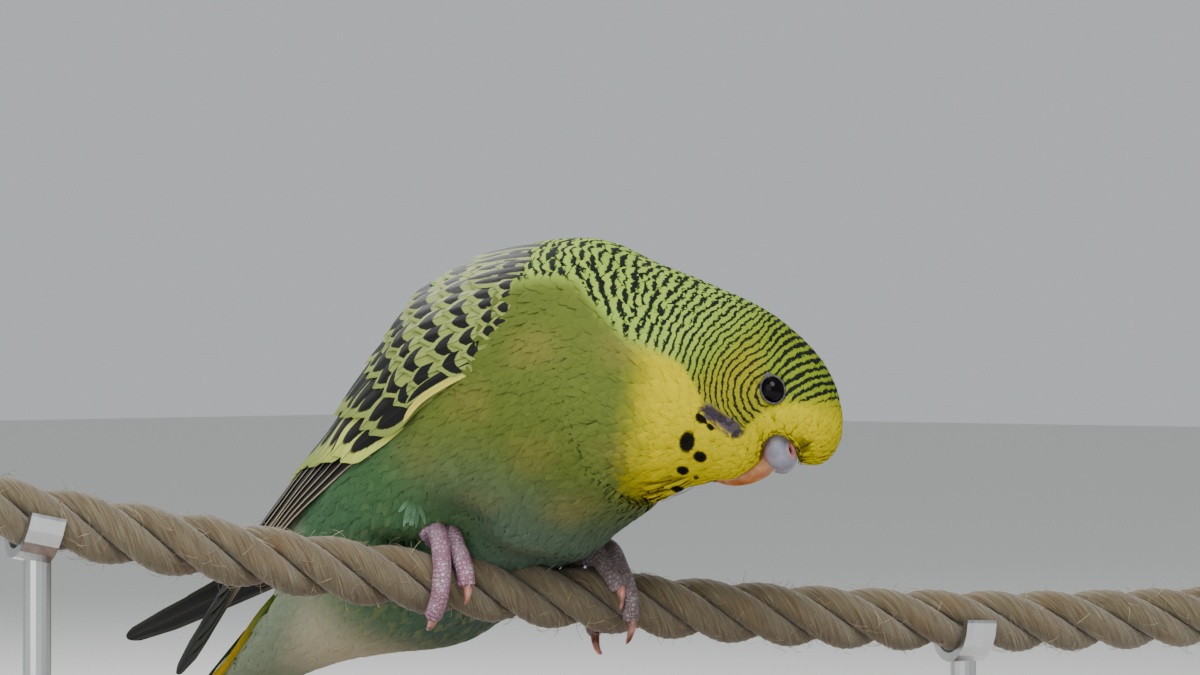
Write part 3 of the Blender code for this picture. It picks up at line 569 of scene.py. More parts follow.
# sizes and colours that a user would change
class BudgieSizes(PropertyGroup):
    """Sizes of the plumage and the fibres."""
    face_length: FloatProperty(
        name="Face feather", description="Length of the smallest feathers round the bill",
        default=0.0024, min=0.001, max=0.006, unit="LENGTH", subtype="DISTANCE")
    nape_length: FloatProperty(
        name="Nape feather", description="Length of the feathers on the hindneck",
        default=0.0052, min=0.002, max=0.010, unit="LENGTH", subtype="DISTANCE")
    body_length: FloatProperty(
        name="Body feather", description="Length of the feathers on breast and belly",
        default=0.0066, min=0.003, max=0.014, unit="LENGTH", subtype="DISTANCE")
    bar_spacing: FloatProperty(
        name="Bar spacing", description="Distance between two black bars behind the eye",
        default=0.00128, min=0.0008, max=0.004, unit="LENGTH", subtype="DISTANCE")
    fibre_length: FloatProperty(
        name="Rope fibre", description="Length of the loose fibres on the rope",
        default=0.0026, min=0.0005, max=0.008, unit="LENGTH", subtype="DISTANCE")
    fibre_count: IntProperty(
        name="Fibre count", description="Loose fibres on the whole rope", default=2600,
        min=0, max=6000)


def colour_property(name, description, screen):
    return FloatVectorProperty(name=name, description=description, subtype="COLOR", size=3,
                               min=0.0, max=1.0, default=linear(*screen))


class BudgieColours(PropertyGroup):
    """Colours of the plumage and the bare parts."""
    mask: colour_property("Mask", "Yellow of forehead, face and throat", (182, 167, 0))
    crown: colour_property("Crown ground", "Ground between the bars on crown and cheek",
                           (118, 136, 32))
    nape: colour_property("Nape ground", "Ground between the bars on the hindneck",
                          (140, 166, 66))
    breast: colour_property("Breast", "Olive green of the upper breast", (88, 100, 42))
    belly: colour_property("Belly", "Grey green of the lower belly", (79, 98, 90))
    flank: colour_property("Flank", "Green below the wing", (62, 98, 60))
    vent: colour_property("Vent", "Pale grey green under the tail", (176, 170, 146))
    bar: colour_property("Bar", "Black of the bars", (24, 30, 28))
    spot: colour_property("Spot", "Black of the throat spots", (20, 18, 14))
    patch: colour_property("Cheek patch", "Violet grey of the cheek patch", (58, 51, 57))
    margin: colour_property("Feather margin", "Pale edge of the wing feathers", (128, 141, 70))
    cheek: colour_property("Cheek ground", "Ground between the bars below the eye", (134, 131, 26))
    wing: colour_property("Wing dark", "Black of the wing feathers", (16, 17, 16))
    cere: colour_property("Cere", "Waxy skin over the bill", (112, 110, 126))
    bill: colour_property("Bill", "Horn of the bill", (142, 70, 12))
    foot: colour_property("Foot", "Skin of the toes", (150, 114, 132))
    rope: colour_property("Rope", "Dry fibre of the rope", (106, 98, 78))


def tint(name):
    return np.array(getattr(bpy.context.scene.budgie_colours, name)[:])


def size(name):
    """A named size in millimetres."""
    return getattr(bpy.context.scene.budgie_sizes, name) / MM


# markings of the plumage
BILL_ROOT = head_point(9.0, -2.5)
EYE_REACH = (2.6, 3.2)      # half width and height of the bare ring round the eye

# front edge of the barred ground: crown coordinate, face coordinate
BAR_EDGE_CROWN = [-27, -25.1, -22.8, -19.6, -16.3, -12.4, -11.0, -6.7, -2.1, 0, 3.5, 7.1, 10]
BAR_EDGE_FACE = [-34, -29.6, -22.1, -14.3, -11.7, -8.0, -1.2, 4.6, 2.6, 2.2, 3.2, 4.6, 5.4]

# throat spots of one side: face, crown, cheek, half length along the throat, half height
SPOTS = [
    (0.6, -12.0, 12.2, 0.95, 1.0),
    (2.2, -10.9, 11.4, 0.75, 0.9),
    (3.5, -15.3, 10.7, 1.2, 1.75),
    (6.2, -14.1, 8.7, 1.1, 0.85),
    (7.3, -17.3, 7.1, 1.0, 0.7),
    (8.8, -15.6, 4.9, 0.45, 0.4),
    (9.6, -19.0, 3.4, 1.5, 0.6),
]
CHEEK_PATCH = ((-0.1, -10.7), (3.9, -7.6))      # ends of the violet patch: face, crown
CHEEK_PATCH_HALF = 1.2


def bar_ground(p):
    """Share of barred ground at points."""
    f, u, c = head_place(p)
    edge = np.interp(u, BAR_EDGE_CROWN, BAR_EDGE_FACE)
    soft = np.interp(u, [-24, -14, -8, 4, 8], [3.4, 1.8, 0.5, 1.5, 3.2])
    return smooth(soft, -soft, f - edge)


def bar_phase(p):
    """Bars counted from the face backwards: arcs round the cheek, bows over the crown."""
    f, u, c = head_place(p)
    reach = np.hypot(f, u)
    centre = np.clip(-1.2 + 0.42 * (reach - 7), -1.2, 5.0)
    low = np.minimum(u - centre, 0)
    over = np.maximum(u - 0.3, 0) ** 2 / (np.maximum(u - 0.3, 0) + 1.2) * (u > centre)
    bow = 2.1 * (1 - np.exp(-over / 2.0)) * smooth(-19, -9, f)
    distance = np.where(u > centre, -(f - 0.3) - bow, np.hypot(f - 0.3, low))
    first = bpy.context.scene.budgie_sizes.bar_spacing / MM
    # spacing grows evenly past the ear coverts
    start, growth = 13.0, 0.045
    distance = distance + np.interp(u, [-3, 5], [1.4, -1.4]) * (1 - np.exp(-np.maximum(distance, 0) / 6))
    far = np.maximum(distance - start, 0)
    return np.minimum(distance, start) / first + np.log1p(growth * far / first) / growth


def spot_field(p):
    """Positive inside a throat spot."""
    f, u, c = head_place(p)
    field = np.full(len(p), -3.0)
    for face, crown, cheek, long, high in SPOTS:
        turn = radians(30)
        df, du = f - face, u - crown
        a, b = df * cos(turn) - du * sin(turn), df * sin(turn) + du * cos(turn)
        dist = np.sqrt((b / long) ** 2 + (a / high) ** 2 + ((np.abs(c) - cheek) / 3.5) ** 2)
        field = np.maximum(field, 1.0 - dist)
    return field


def segment_distance(f, u, ends):
    a, b = np.array(ends[0]), np.array(ends[1])
    q = np.stack([f, u], 1) - a
    along = np.clip(q @ (b - a) / np.dot(b - a, b - a), 0, 1)
    return np.linalg.norm(q - along[:, None] * (b - a), axis=1)


def blend(a, b, share):
    return a + (b - a) * share[:, None]


def ground_colour(p, place, roll):
    """Ground colour of skin and feathers at points; roll is each feather's own chance."""
    f, u, c = head_place(p)
    t, off = p @ SPINE, p @ BELLY
    s = place[:, 0]
    colour = blend(tint("belly"), tint("breast"), smooth(-6, 34, t - 0.55 * off)) * np.ones((len(p), 3))
    low = smooth(-20, 2, off) * smooth(30, 14, t)
    colour = blend(colour, tint("belly"), 0.55 * low)
    flank = smooth(16, 4, t) * smooth(2, -14, off)
    colour = blend(colour, tint("flank"), 0.8 * flank)
    teal = smooth(4, -12, t) * smooth(-8, -20, off)
    colour = blend(colour, np.array(linear(70, 104, 74)), 0.6 * teal)
    under = smooth(-14, -34, t)
    colour = blend(colour, tint("vent"), under)
    colour = blend(colour, np.array(linear(104, 122, 102)),
                   0.8 * smooth(-16, -28, t) * smooth(-17, -24, off))
    streaks = smooth(0.55, 0.95, roll) * smooth(10, -6, t) * smooth(-24, -10, off)
    colour = blend(colour, np.array(linear(132, 132, 84)), 0.35 * streaks)
    cloud = np.sin(p[:, 0] * 0.31 + 1.3) * np.sin(p[:, 1] * 0.27 + 0.6) * np.sin(p[:, 2] * 0.36)
    colour = blend(colour, np.array(linear(134, 118, 62)), 0.35 * np.clip(cloud, 0, 1)
                   * smooth(0, 20, t) * smooth(-30, -14, off))
    # back and mantle
    colour = blend(colour, tint("nape"), mantle(place))
    # yellow face fading into the breast
    yellow = smooth(-26.0, -17.5, u + 0.45 * (f + 2) + 1.5 * (roll - 0.5)) * smooth(8.8, 10.0, s)
    colour = blend(colour, tint("mask"), yellow)
    barred = bar_ground(p)
    ground = blend(tint("nape"), tint("crown"), smooth(-19, -7, f + 0.35 * u))
    ground = blend(ground, tint("cheek"), smooth(1.5, -2.5, u) * smooth(-12, -6, f + 0.35 * u))
    colour = blend(colour, ground, barred * smooth(8.6, 9.6, s))
    patch = smooth(CHEEK_PATCH_HALF + 0.35, CHEEK_PATCH_HALF - 0.35,
                   segment_distance(f, u, CHEEK_PATCH) + 0.7 * (roll - 0.5))
    patch = patch * (np.abs(c) > 5)
    streaky = np.where((roll * 5.3) % 1.0 > 0.62, 1.7, 0.9)[:, None]
    colour = blend(colour, tint("patch") * streaky, patch)
    bristle = np.exp(-((f - 9.5) / 1.7) ** 2 - ((u - 1.9) / 1.1) ** 2) * ((roll * 3.7) % 1.0 > 0.5)
    colour = blend(colour, np.array(linear(50, 36, 14)), 0.85 * bristle)
    own = 1.0 + 0.07 * (roll - 0.5)
    return np.clip(colour * own[:, None], 0, 1), patch


def mantle(place):
    """Share of the barred back between nape and wings."""
    side = np.minimum(place[:, 1] % 360, 360 - place[:, 1] % 360)
    return smooth(58, 44, side) * smooth(5.0, 6.5, place[:, 0]) * smooth(10.2, 9.9, place[:, 0])


def markings(p, place, roll, vane=None, root=None):
    """Tint and mark attributes at points; vane and root are those of the feather."""
    colour, patch = ground_colour(p, place, roll)
    f, u, c = head_place(p)
    far = smooth(-7, -22, f)
    back = mantle(place)
    ground = np.maximum(bar_ground(p) * smooth(8.8, 9.6, place[:, 0]), back) * (1 - patch)
    phase = bar_phase(p) + (0.16 + 0.4 * far) * (roll - 0.5)
    strength = ground * (0.74 + 0.22 * np.maximum(smooth(0.5, 3.0, u), far))
    if vane is not None:
        own = 0.25 + (vane[:, 1] - 0.80) / 0.30 + 0.30 * vane[:, 0] ** 2
        scaly = np.maximum(smooth(-12, -20, head_place(root)[0]), back)
        phase = np.where((roll * 7.3) % 1.0 < scaly, own, phase)
    return colour, np.stack([phase, strength, spot_field(p) - 3 * patch], 1)


def bake_place(place):
    """Place on the unwrap of the skin's own shape, 0 to 1."""
    return np.stack([(place[:, 1] % 360) / 360 * 0.98 + 0.01,
                     place[:, 0] / CROWN_STATION * 0.98 + 0.01], 1)


# skin
COAT_BODY = 0.95        # the skin lies this deep under the outline of the body
COAT_FACE = 0.42


def coat_depth(p):
    f, u, c = head_place(p)
    return COAT_BODY + (COAT_FACE - COAT_BODY) * smooth(-26, -8, u + 0.2 * f)


def face_relief(p):
    """Plumage over or under the plain outline: hollows at eye, cere and feet, fuller cheeks."""
    f, u, c = head_place(p)
    side = np.abs(c)
    long = np.where(f < 8.4, 4.0, 4.6)
    wide = np.where(u < -1.7, 3.0, 2.55)
    cere = np.sqrt(((f - 8.95) / long) ** 2 + ((u + 1.75) / wide) ** 2 + ((side - 3.0) / 5.2) ** 2)
    whisker = np.exp(-((u + 9.4) / 3.2) ** 2 - ((side - 4.2) / 3.2) ** 2) * smooth(2, 6, f)
    eye = np.exp(-((f / 2.9) ** 2 + ((u + 0.1) / 2.6) ** 2) ** 1.5) * (side > 4)
    foot = np.zeros(len(p))
    for place, share in ((FOOT_RIGHT, 1.0), (FOOT_LEFT, 0.55)):
        low, high = leg_line(place)
        foot += share * np.exp(-np.sum((p - low - (high - low) * 0.12) ** 2, axis=1) / 6.5 ** 2)
    low, _ = leg_line(FOOT_RIGHT)
    _, toward, up = rope_frame(FOOT_RIGHT)
    ankle = np.exp(-np.sum((p - low - toward * 9.5 - up * 0.5) ** 2, axis=1) / 6.6 ** 2)
    along, near, high = over_rope(p)
    perch = smooth(7.5, 3.0, high) * smooth(-7, -1, near)
    perch = perch * (1 - np.exp(-((along - 8.5) / 4.5) ** 2))
    return 1.0 * whisker - 2.0 * smooth(1.14, 0.8, cere) - 0.35 * eye - 3.4 * foot - 2.6 * perch - 5.2 * ankle


def over_rope(p):
    """Place of points along the rope, towards the viewer and above its middle line."""
    line = np.linspace(-60, 60, 81)
    middle = np.array([rope_point(a) for a in line])
    frames = np.array([rope_frame(a) for a in line])
    nearest = np.argmin([((p - m) ** 2).sum(1) for m in middle], axis=0)
    q = p - middle[nearest]
    return line[nearest], (q * frames[nearest, 1]).sum(1), (q * frames[nearest, 2]).sum(1)


def body_outline():
    if not hasattr(body_outline, "made"):
        body_outline.made = Outline(BODY, np.linspace(0.0, CROWN_STATION, 400),
                                    np.linspace(0, 360, 241), relief=face_relief)
    return body_outline.made


def head_axes(side):
    """Place, crosswise, backward and outward directions at the eye of one side."""
    form = body_outline()
    start = head_point(0, 0, 12 * side)
    place, out, _ = form.nearest([start])
    place, out = place[0] + out[0] * 0.3, out[0]
    over = unit(-FACE + out * np.dot(FACE, out))
    return place, np.cross(over, out), over, out


class BUDGIE_OT_skin(Operator):
    """One skin under all the feathers, from the tail's root to the crown"""
    bl_idname = "budgie.skin"
    bl_label = "Skin"

    def execute(self, context):
        form = body_outline()
        stations = np.concatenate([np.linspace(0.35, 9.5, 150), np.linspace(9.55, 16.97, 190)])
        sides = 180
        s, d = np.meshgrid(stations, np.arange(sides) * 360.0 / sides, indexing="ij")
        outer = ring_points(BODY, s.ravel(), d.ravel())
        near, normal, place = form.nearest(outer)
        angle = np.minimum(d.ravel(), 360 - d.ravel())
        slim = smooth(2.3, 0.9, s.ravel()) * (2.6 - 1.4 * smooth(110, 150, angle))
        slim = np.maximum(slim, 2.0 * smooth(3.5, 2.7, s.ravel()) * smooth(98, 84, angle))
        depth = coat_depth(outer) + slim - np.minimum(wing_step(place), 0) - face_relief(outer)
        points = outer - normal * depth[:, None]
        rings = points.reshape(len(stations), sides, 3)
        points, tris = loft(rings)
        place = np.vstack([np.stack([s.ravel(), d.ravel()], 1), [[stations[0], 0]],
                           [[stations[-1], 0]]])
        roll = np.full(len(points), 0.5)
        colour, mark = markings(points, place, roll)
        # the skin is painted at 0.8 of the plumage's colour over it: painted shade where it shows between the
        # feathers
        skin = build_mesh("skin", points, outward(points, tris), plumage_material(),
                          {"mark": mark, "vane": np.tile([0.5, 0.5, 0.5], (len(points), 1))},
                          {"tint": colour * 0.8}, bake_place(place))
        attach(skin, "root")
        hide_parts("head", "neck", "torso", "rump")
        return {"FINISHED"}


def wing_step(place):
    """Extra height of body feathers: under the wings' lower edge, over their bend."""
    s, d = place[:, 0], place[:, 1] % 360
    side = np.minimum(d, 360 - d)
    lower = np.interp(s, WING_STATIONS, WING_LOWER)
    upper = np.interp(s, WING_STATIONS, WING_UPPER)
    under = smooth(lower + 9, lower + 2, side) * smooth(8.7, 8.1, s) * smooth(45, 60, side)
    over = smooth(9.6, 9.0, s) * smooth(7.3, 8.0, s) * smooth(upper - 14, upper, side)
    over = over * smooth(lower + 8, lower, side)
    return -1.1 * under + 0.30 * over


# feathers
def vane_pattern(cols, rows, crowd=1.0):
    """Local grid of a vane, crowded towards the tip: along, across, top and underside triangles."""
    i, j = np.meshgrid(np.arange(rows + 1), np.arange(cols + 1), indexing="ij")
    wide = cols + 1
    inner = (i > 0) & (i < rows) & (j > 0) & (j < cols)
    under = np.where(inner, 0, i * wide + j)
    under[inner] = wide * (rows + 1) + np.arange(inner.sum())
    tris = []
    for a in range(rows):
        for b in range(cols):
            q = [(a, b), (a, b + 1), (a + 1, b + 1), (a + 1, b)]
            top = [x * wide + y for x, y in q]
            low = [under[x, y] for x, y in q]
            split = ((0, 1, 2), (0, 2, 3)) if (b < cols / 2) else ((0, 1, 3), (1, 2, 3))
            for k in split:
                tris.append([top[v] for v in k])
                tris.append([low[v] for v in k[::-1]])
    run = 1 - (1 - i.ravel() / rows) ** crowd
    return run, j.ravel() * 2.0 / cols - 1, inner.ravel(), np.array(tris)


def vane_width(x, root=0.42, point=0.6):
    """Width of a vane along its length, 1 at its widest."""
    swell = root + (1 - root) * np.sin(np.clip(x / 0.5, 0, 1) * pi / 2)
    close = np.sqrt(np.clip(1 - (np.clip(x - point, 0, 1) / (1.02 - point)) ** 2.2, 0, 1))
    return np.maximum(swell * close, 0.25 * (x > 0.9))


def feathers(form, roots, lie, length, half, sink, rise, cols, rows, tooth, seed,
             camber=0.04, thick=0.05, swirl=0.1, lift=None):
    """Vanes that hug an outline: points, triangles and per-point facts."""
    rng = np.random.default_rng(seed)
    count = len(roots)
    x, y, inner, tris = vane_pattern(cols, rows, 1.5)
    hit, normal, root_place = form.nearest(roots)
    along = unit(lie - normal * (lie * normal).sum(1)[:, None])
    turn = rng.normal(0, swirl, count)[:, None]
    across = np.cross(normal, along)
    along, across = along * np.cos(turn) + across * np.sin(turn), across * np.cos(turn) - along * np.sin(turn)
    odd = (np.arange(cols + 1) % 2) == 0
    fringe = tooth[:, None] * (0.35 * rng.random((count, cols + 1))
                               + odd * rng.uniform(0.4, 1.0, (count, cols + 1)))
    col = np.round((y + 1) * cols / 2).astype(int)
    reach = x[None, :] * np.ones((count, 1))
    tip = (x > 0.999)[None, :]
    reach = np.where(tip, 1.0 - fringe[:, col], reach)
    reach = reach * (1 - 0.20 * (y ** 2)[None, :] * x[None, :] ** 2)
    width = vane_width(x)
    bend = rng.normal(0, 0.06, count)[:, None]
    q = (roots[:, None] + along[:, None] * (reach * length[:, None])[..., None]
         + across[:, None] * (y * width * half[:, None]
                              + bend * length[:, None] * reach ** 2)[..., None])
    near, norm, place = form.nearest(q.reshape(-1, 3))
    height = (rise[:, None] + (sink - rise)[:, None] * (1 - np.clip(reach, 0, 1)) ** 2
              - camber * (y ** 2)[None, :] * half[:, None])
    height = height.reshape(-1)
    if lift is not None:
        height = height + lift(place)
    top = near + norm * height[:, None]
    top = top.reshape(count, -1, 3)
    norm = norm.reshape(count, -1, 3)
    low = (top - thick * norm)[:, inner]
    points = np.concatenate([top, low], axis=1)
    per = points.shape[1]
    tilt = rng.normal(0, 0.06, (count, 2))
    soft = (norm + across[:, None] * (0.16 * y[None] + tilt[:, :1])[..., None]
            + along[:, None] * (0.10 * x[None] + tilt[:, 1:])[..., None])
    soft = np.concatenate([soft, -soft[:, inner]], axis=1).reshape(-1, 3)
    all_tris = (tris[None] + (np.arange(count) * per)[:, None, None]).reshape(-1, 3)
    roll = rng.random(count)

    def spread(values):
        """Per-vertex values of the top carried to the underside."""
        values = values.reshape(count, len(x), -1)
        return np.concatenate([values, values[:, inner]], axis=1).reshape(count * per, -1)

    place = spread(place)
    local = np.stack([np.broadcast_to(y, reach.shape), reach,
                      np.broadcast_to(roll[:, None], reach.shape)], -1)
    base = bake_place(root_place)
    uv = base[:, None] + np.stack([y * 0.0014, x * 0.003], 1)[None]
    return {"points": points.reshape(-1, 3), "tris": all_tris, "place": place,
            "vane": spread(local), "uv": spread(uv), "roll": np.repeat(roll, per),
            "root": np.repeat(roots, per, axis=0), "count": count, "soft": soft}


def scatter(form, spacing, keep, seed, tries=9):
    """Roots spread over an outline, no two nearer than the local spacing."""
    rng = np.random.default_rng(seed)
    share = form.area / form.area.sum()
    guess = int(form.area.sum() / 0.75 * tries / 1.6)
    pick = rng.choice(len(share), size=guess, p=share)
    a, b = rng.random((2, guess, 1))
    flip = a + b > 1
    a, b = np.where(flip, 1 - a, a), np.where(flip, 1 - b, b)
    tri = form.tris[pick]
    p0, p1, p2 = (form.points[tri[:, k]] for k in range(3))
    points = p0 + (p1 - p0) * a + (p2 - p0) * b
    c0, c1, c2 = (form.place[tri[:, k]] for k in range(3))
    place = c0 + (c1 - c0) * a + (c2 - c0) * b
    gap = spacing(points, place)
    wanted = keep(points, place)
    points, place, gap = points[wanted], place[wanted], gap[wanted]
    cell = 2.4
    bins, kept = {}, []
    keys = np.floor(points / cell).astype(int)
    coords = points.tolist()
    around = [(i, j, k) for i in (-1, 0, 1) for j in (-1, 0, 1) for k in (-1, 0, 1)]
    for n, (key, p, g) in enumerate(zip(map(tuple, keys.tolist()), coords, gap.tolist())):
        g2 = g * g
        clear = True
        for d in around:
            for o in bins.get((key[0] + d[0], key[1] + d[1], key[2] + d[2]), ()):
                if (o[0] - p[0]) ** 2 + (o[1] - p[1]) ** 2 + (o[2] - p[2]) ** 2 < g2:
                    clear = False
                    break
            if not clear:
                break
        if clear:
            bins.setdefault(key, []).append(p)
            kept.append(n)
    return points[kept], place[kept], gap[kept]


def lie_of(p):
    """Direction of the feathers: away from the bill on the head, towards the tail behind."""
    away = unit(p - BILL_ROOT)
    distance = np.linalg.norm(p - BILL_ROOT, axis=1)
    w = smooth(20, 42, distance)[:, None]
    lie = unit(away * (1 - w) + (-SPINE) * w)
    for place in (FOOT_RIGHT, FOOT_LEFT):
        low, _ = leg_line(place)
        near = np.exp(-np.sum((p - low) ** 2, axis=1) / 9.0 ** 2)[:, None]
        lie = unit(lie + 1.3 * near * unit(low - p))
    return lie


def feather_scale(p, place):
    """0 at the face to 1 on the body."""
    distance = np.linalg.norm(p - BILL_ROOT, axis=1)
    return smooth(3, 44, distance)


def wing_front(side):
    """Station where the breast's plumage gives way to the wing, by angle from the back."""
    return np.interp(side, [24, 38, 45, 58, 61, 72, 81, 86, 90],
                     [9.45, 9.45, 9.14, 9.08, 8.95, 8.84, 8.73, 8.5, 8.2])


def under_wing(place):
    """Inside the area that a folded wing covers."""
    s, d = place[:, 0], place[:, 1]
    side = np.where(d > 180, 360 - d, d)
    upper = np.interp(s, WING_STATIONS[:9] + [9.5], WING_UPPER[:8] + [18, 26])
    lower = np.interp(s, WING_STATIONS, WING_LOWER)
    return (s > 4.2) & (s < wing_front(side)) & (side > upper + 7) & (side < lower - 7)


def ahead_of_wing(place):
    """Room in millimetres for a feather before it reaches over the wing."""
    s, d = place[:, 0], place[:, 1]
    side = np.where(d > 180, 360 - d, d)
    room = (s - wing_front(side)) * 22 + 1.3
    return np.where((side > 26) & (side < 88) & (s > 8.2) & (room > 0), room, 99.0)


def bare(p):
    """Places without feathers: the eyes, the cere and the bill."""
    f, u, c = head_place(p)
    eye = ((f - 0.0) / 2.15) ** 2 + ((u + 0.1) / 2.35) ** 2 < 1
    eye = eye & (np.abs(c) > 4)
    horn = (f > 8.0) & (u < 0.4) & (u > -8.6) & (np.abs(c) < 3.6)
    mouth = (f > 9.0) & (u < -3.0) & (u > -12.5) & (np.abs(c) < 2.6)
    return eye | horn | mouth


def thigh_tuft(form, side, seed, count=13):
    """Loose feathers that fan out over a shank."""
    rng = np.random.default_rng(seed)
    share = np.linspace(-0.05, 1.1, count) + rng.normal(0, 0.05, count)
    across = RIGHT * side
    top = axis_point(7.2, -13.9) + across * 20.4
    back = axis_point(1.1, -13.4) + across * 18.9
    front = axis_point(2.6, -11.6) + across * 16.6
    roots = top + (front - back) * (0.35 * (share - 0.5))[:, None]
    roots = roots + rng.normal(0, 0.12, (count, 3))
    lie = back + (front - back) * share[:, None] - roots
    length = np.linalg.norm(lie, axis=1) * rng.uniform(0.62, 1.05, count)
    return feathers(form, roots, unit(lie), length, np.full(count, 0.36), np.full(count, -0.3),
                    np.full(count, 0.42) + rng.normal(0, 0.08, count), 4, 8,
                    np.full(count, 0.12), seed, swirl=0.06)


def chin_fringe(form, seed, count=60):
    """Long loose feathers of the mask's lower edge, standing off over the breast."""
    rng = np.random.default_rng(seed)
    cheek = rng.uniform(-4.6, 4.6, count)
    crown = rng.uniform(-20.0, -15.5, count)
    roots = np.array([head_point(10.6 - 0.16 * c * c, u, c) for u, c in zip(crown, cheek)])
    lie = np.tile(-CROWN + 0.10 * FACE, (count, 1)) + 0.05 * cheek[:, None] * CHEEK
    return feathers(form, roots, unit(lie), rng.uniform(4.6, 6.4, count), np.full(count, 0.62),
                    np.full(count, -0.3), rng.uniform(0.3, 1.7, count), 4, 8,
                    np.full(count, 0.14), seed, swirl=0.08)


COAT_PIECES = {
    # name: (first and last crown coordinate, slot)
    "feathers_face": (-9.0, 99.0, "face_feathers"),
    "feathers_cheek": (-19.0, -9.0, "nape_feathers"),
    "feathers_breast": (-36.0, -19.0, "body_feathers"),
    "feathers_belly": (-60.0, -36.0, "body_feathers"),
    "feathers_rump": (-200.0, -60.0, "body_feathers"),
}


class BUDGIE_OT_coat(Operator):
    """Thousands of small feathers over head and body"""
    bl_idname = "budgie.coat"
    bl_label = "Body plumage"

    def execute(self, context):
        form = body_outline()

        def nape(p):
            return bar_ground(p) * smooth(-11, -20, head_place(p)[0])

        def spacing(p, place):
            return 0.54 + 0.26 * feather_scale(p, place) + 0.55 * np.maximum(nape(p), mantle(place))

        def keep(p, place):
            angle = np.minimum(place[:, 1], 360 - place[:, 1])
            covert = (place[:, 0] > 3.3) | ((angle > 88) & (place[:, 0] > 0.5))
            return ~bare(p) & ~under_wing(place) & covert

        roots, place, gap = scatter(form, spacing, keep, 11)
        scale = feather_scale(roots, place)
        barred = np.maximum(nape(roots), mantle(place))
        length = np.interp(scale, [0, 0.55, 1], [size("face_length"), size("nape_length"),
                                                 size("body_length")])
        length = length * np.random.default_rng(3).uniform(0.88, 1.15, len(roots))
        length = length * (1 + 0.5 * smooth(3.0, 1.0, place[:, 0]))
        half = length * (np.interp(scale, [0, 1], [0.22, 0.135]) + 0.17 * barred)
        tooth = np.interp(scale, [0, 1], [0.13, 0.07])
        length = np.minimum(length, np.maximum(ahead_of_wing(place), 1.6))
        lie = lie_of(roots)
        f, u, c = head_place(roots)
        sink = -coat_depth(roots) * 0.9
        rise = np.interp(scale, [0, 1], [0.05, 0.16])
        rise = rise + np.random.default_rng(4).normal(0, 0.03, len(roots))
        for number, (name, (low, high, slot)) in enumerate(COAT_PIECES.items()):
            here = (u >= low) & (u < high)
            if not here.any():
                raise RuntimeError("no feathers for " + name)
            made = feathers(form, roots[here], lie[here], length[here], half[here],
                            sink[here], rise[here], 4, 4,
                            tooth[here], 100 + number, swirl=0.10, lift=wing_step)
            colour, mark = markings(made["points"], made["place"], made["roll"], made["vane"],
                                    made["root"])
            piece = build_mesh(name, made["points"], outward(made["points"], made["tris"]),
                               plumage_material(),
                               {"mark": mark, "vane": made["vane"]}, {"tint": colour}, made["uv"],
                               soft=made["soft"])
            print(name, made["count"], len(made["tris"]))
            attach(piece, "root")
        for name, made, slot in (("feathers_thigh_right", thigh_tuft(form, 1, 41), "body_feathers"),
                                 ("feathers_thigh_left", thigh_tuft(form, -1, 39), "body_feathers"),
                                 ("feathers_chin", chin_fringe(form, 50), "face_feathers")):
            colour, mark = markings(made["points"], made["place"], made["roll"], made["vane"],
                                    made["root"])
            if slot == "body_feathers":
                pale = smooth(0.1, 0.7, made["vane"][:, 1]) * (0.35 + 0.5 * made["roll"])
                colour = blend(colour, np.array(linear(112, 152, 124)), pale)
            piece = build_mesh(name, made["points"], outward(made["points"], made["tris"]),
                               plumage_material(),
                               {"mark": mark, "vane": made["vane"]}, {"tint": colour}, made["uv"],
                               soft=made["soft"])
            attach(piece, "root")
        return {"FINISHED"}


# wings and tail
def wing_outline():
    if not hasattr(wing_outline, "made"):
        wing_outline.made = Outline(WING, np.linspace(-0.2, 9.7, 280), np.linspace(-25, 150, 176))
    return wing_outline.made


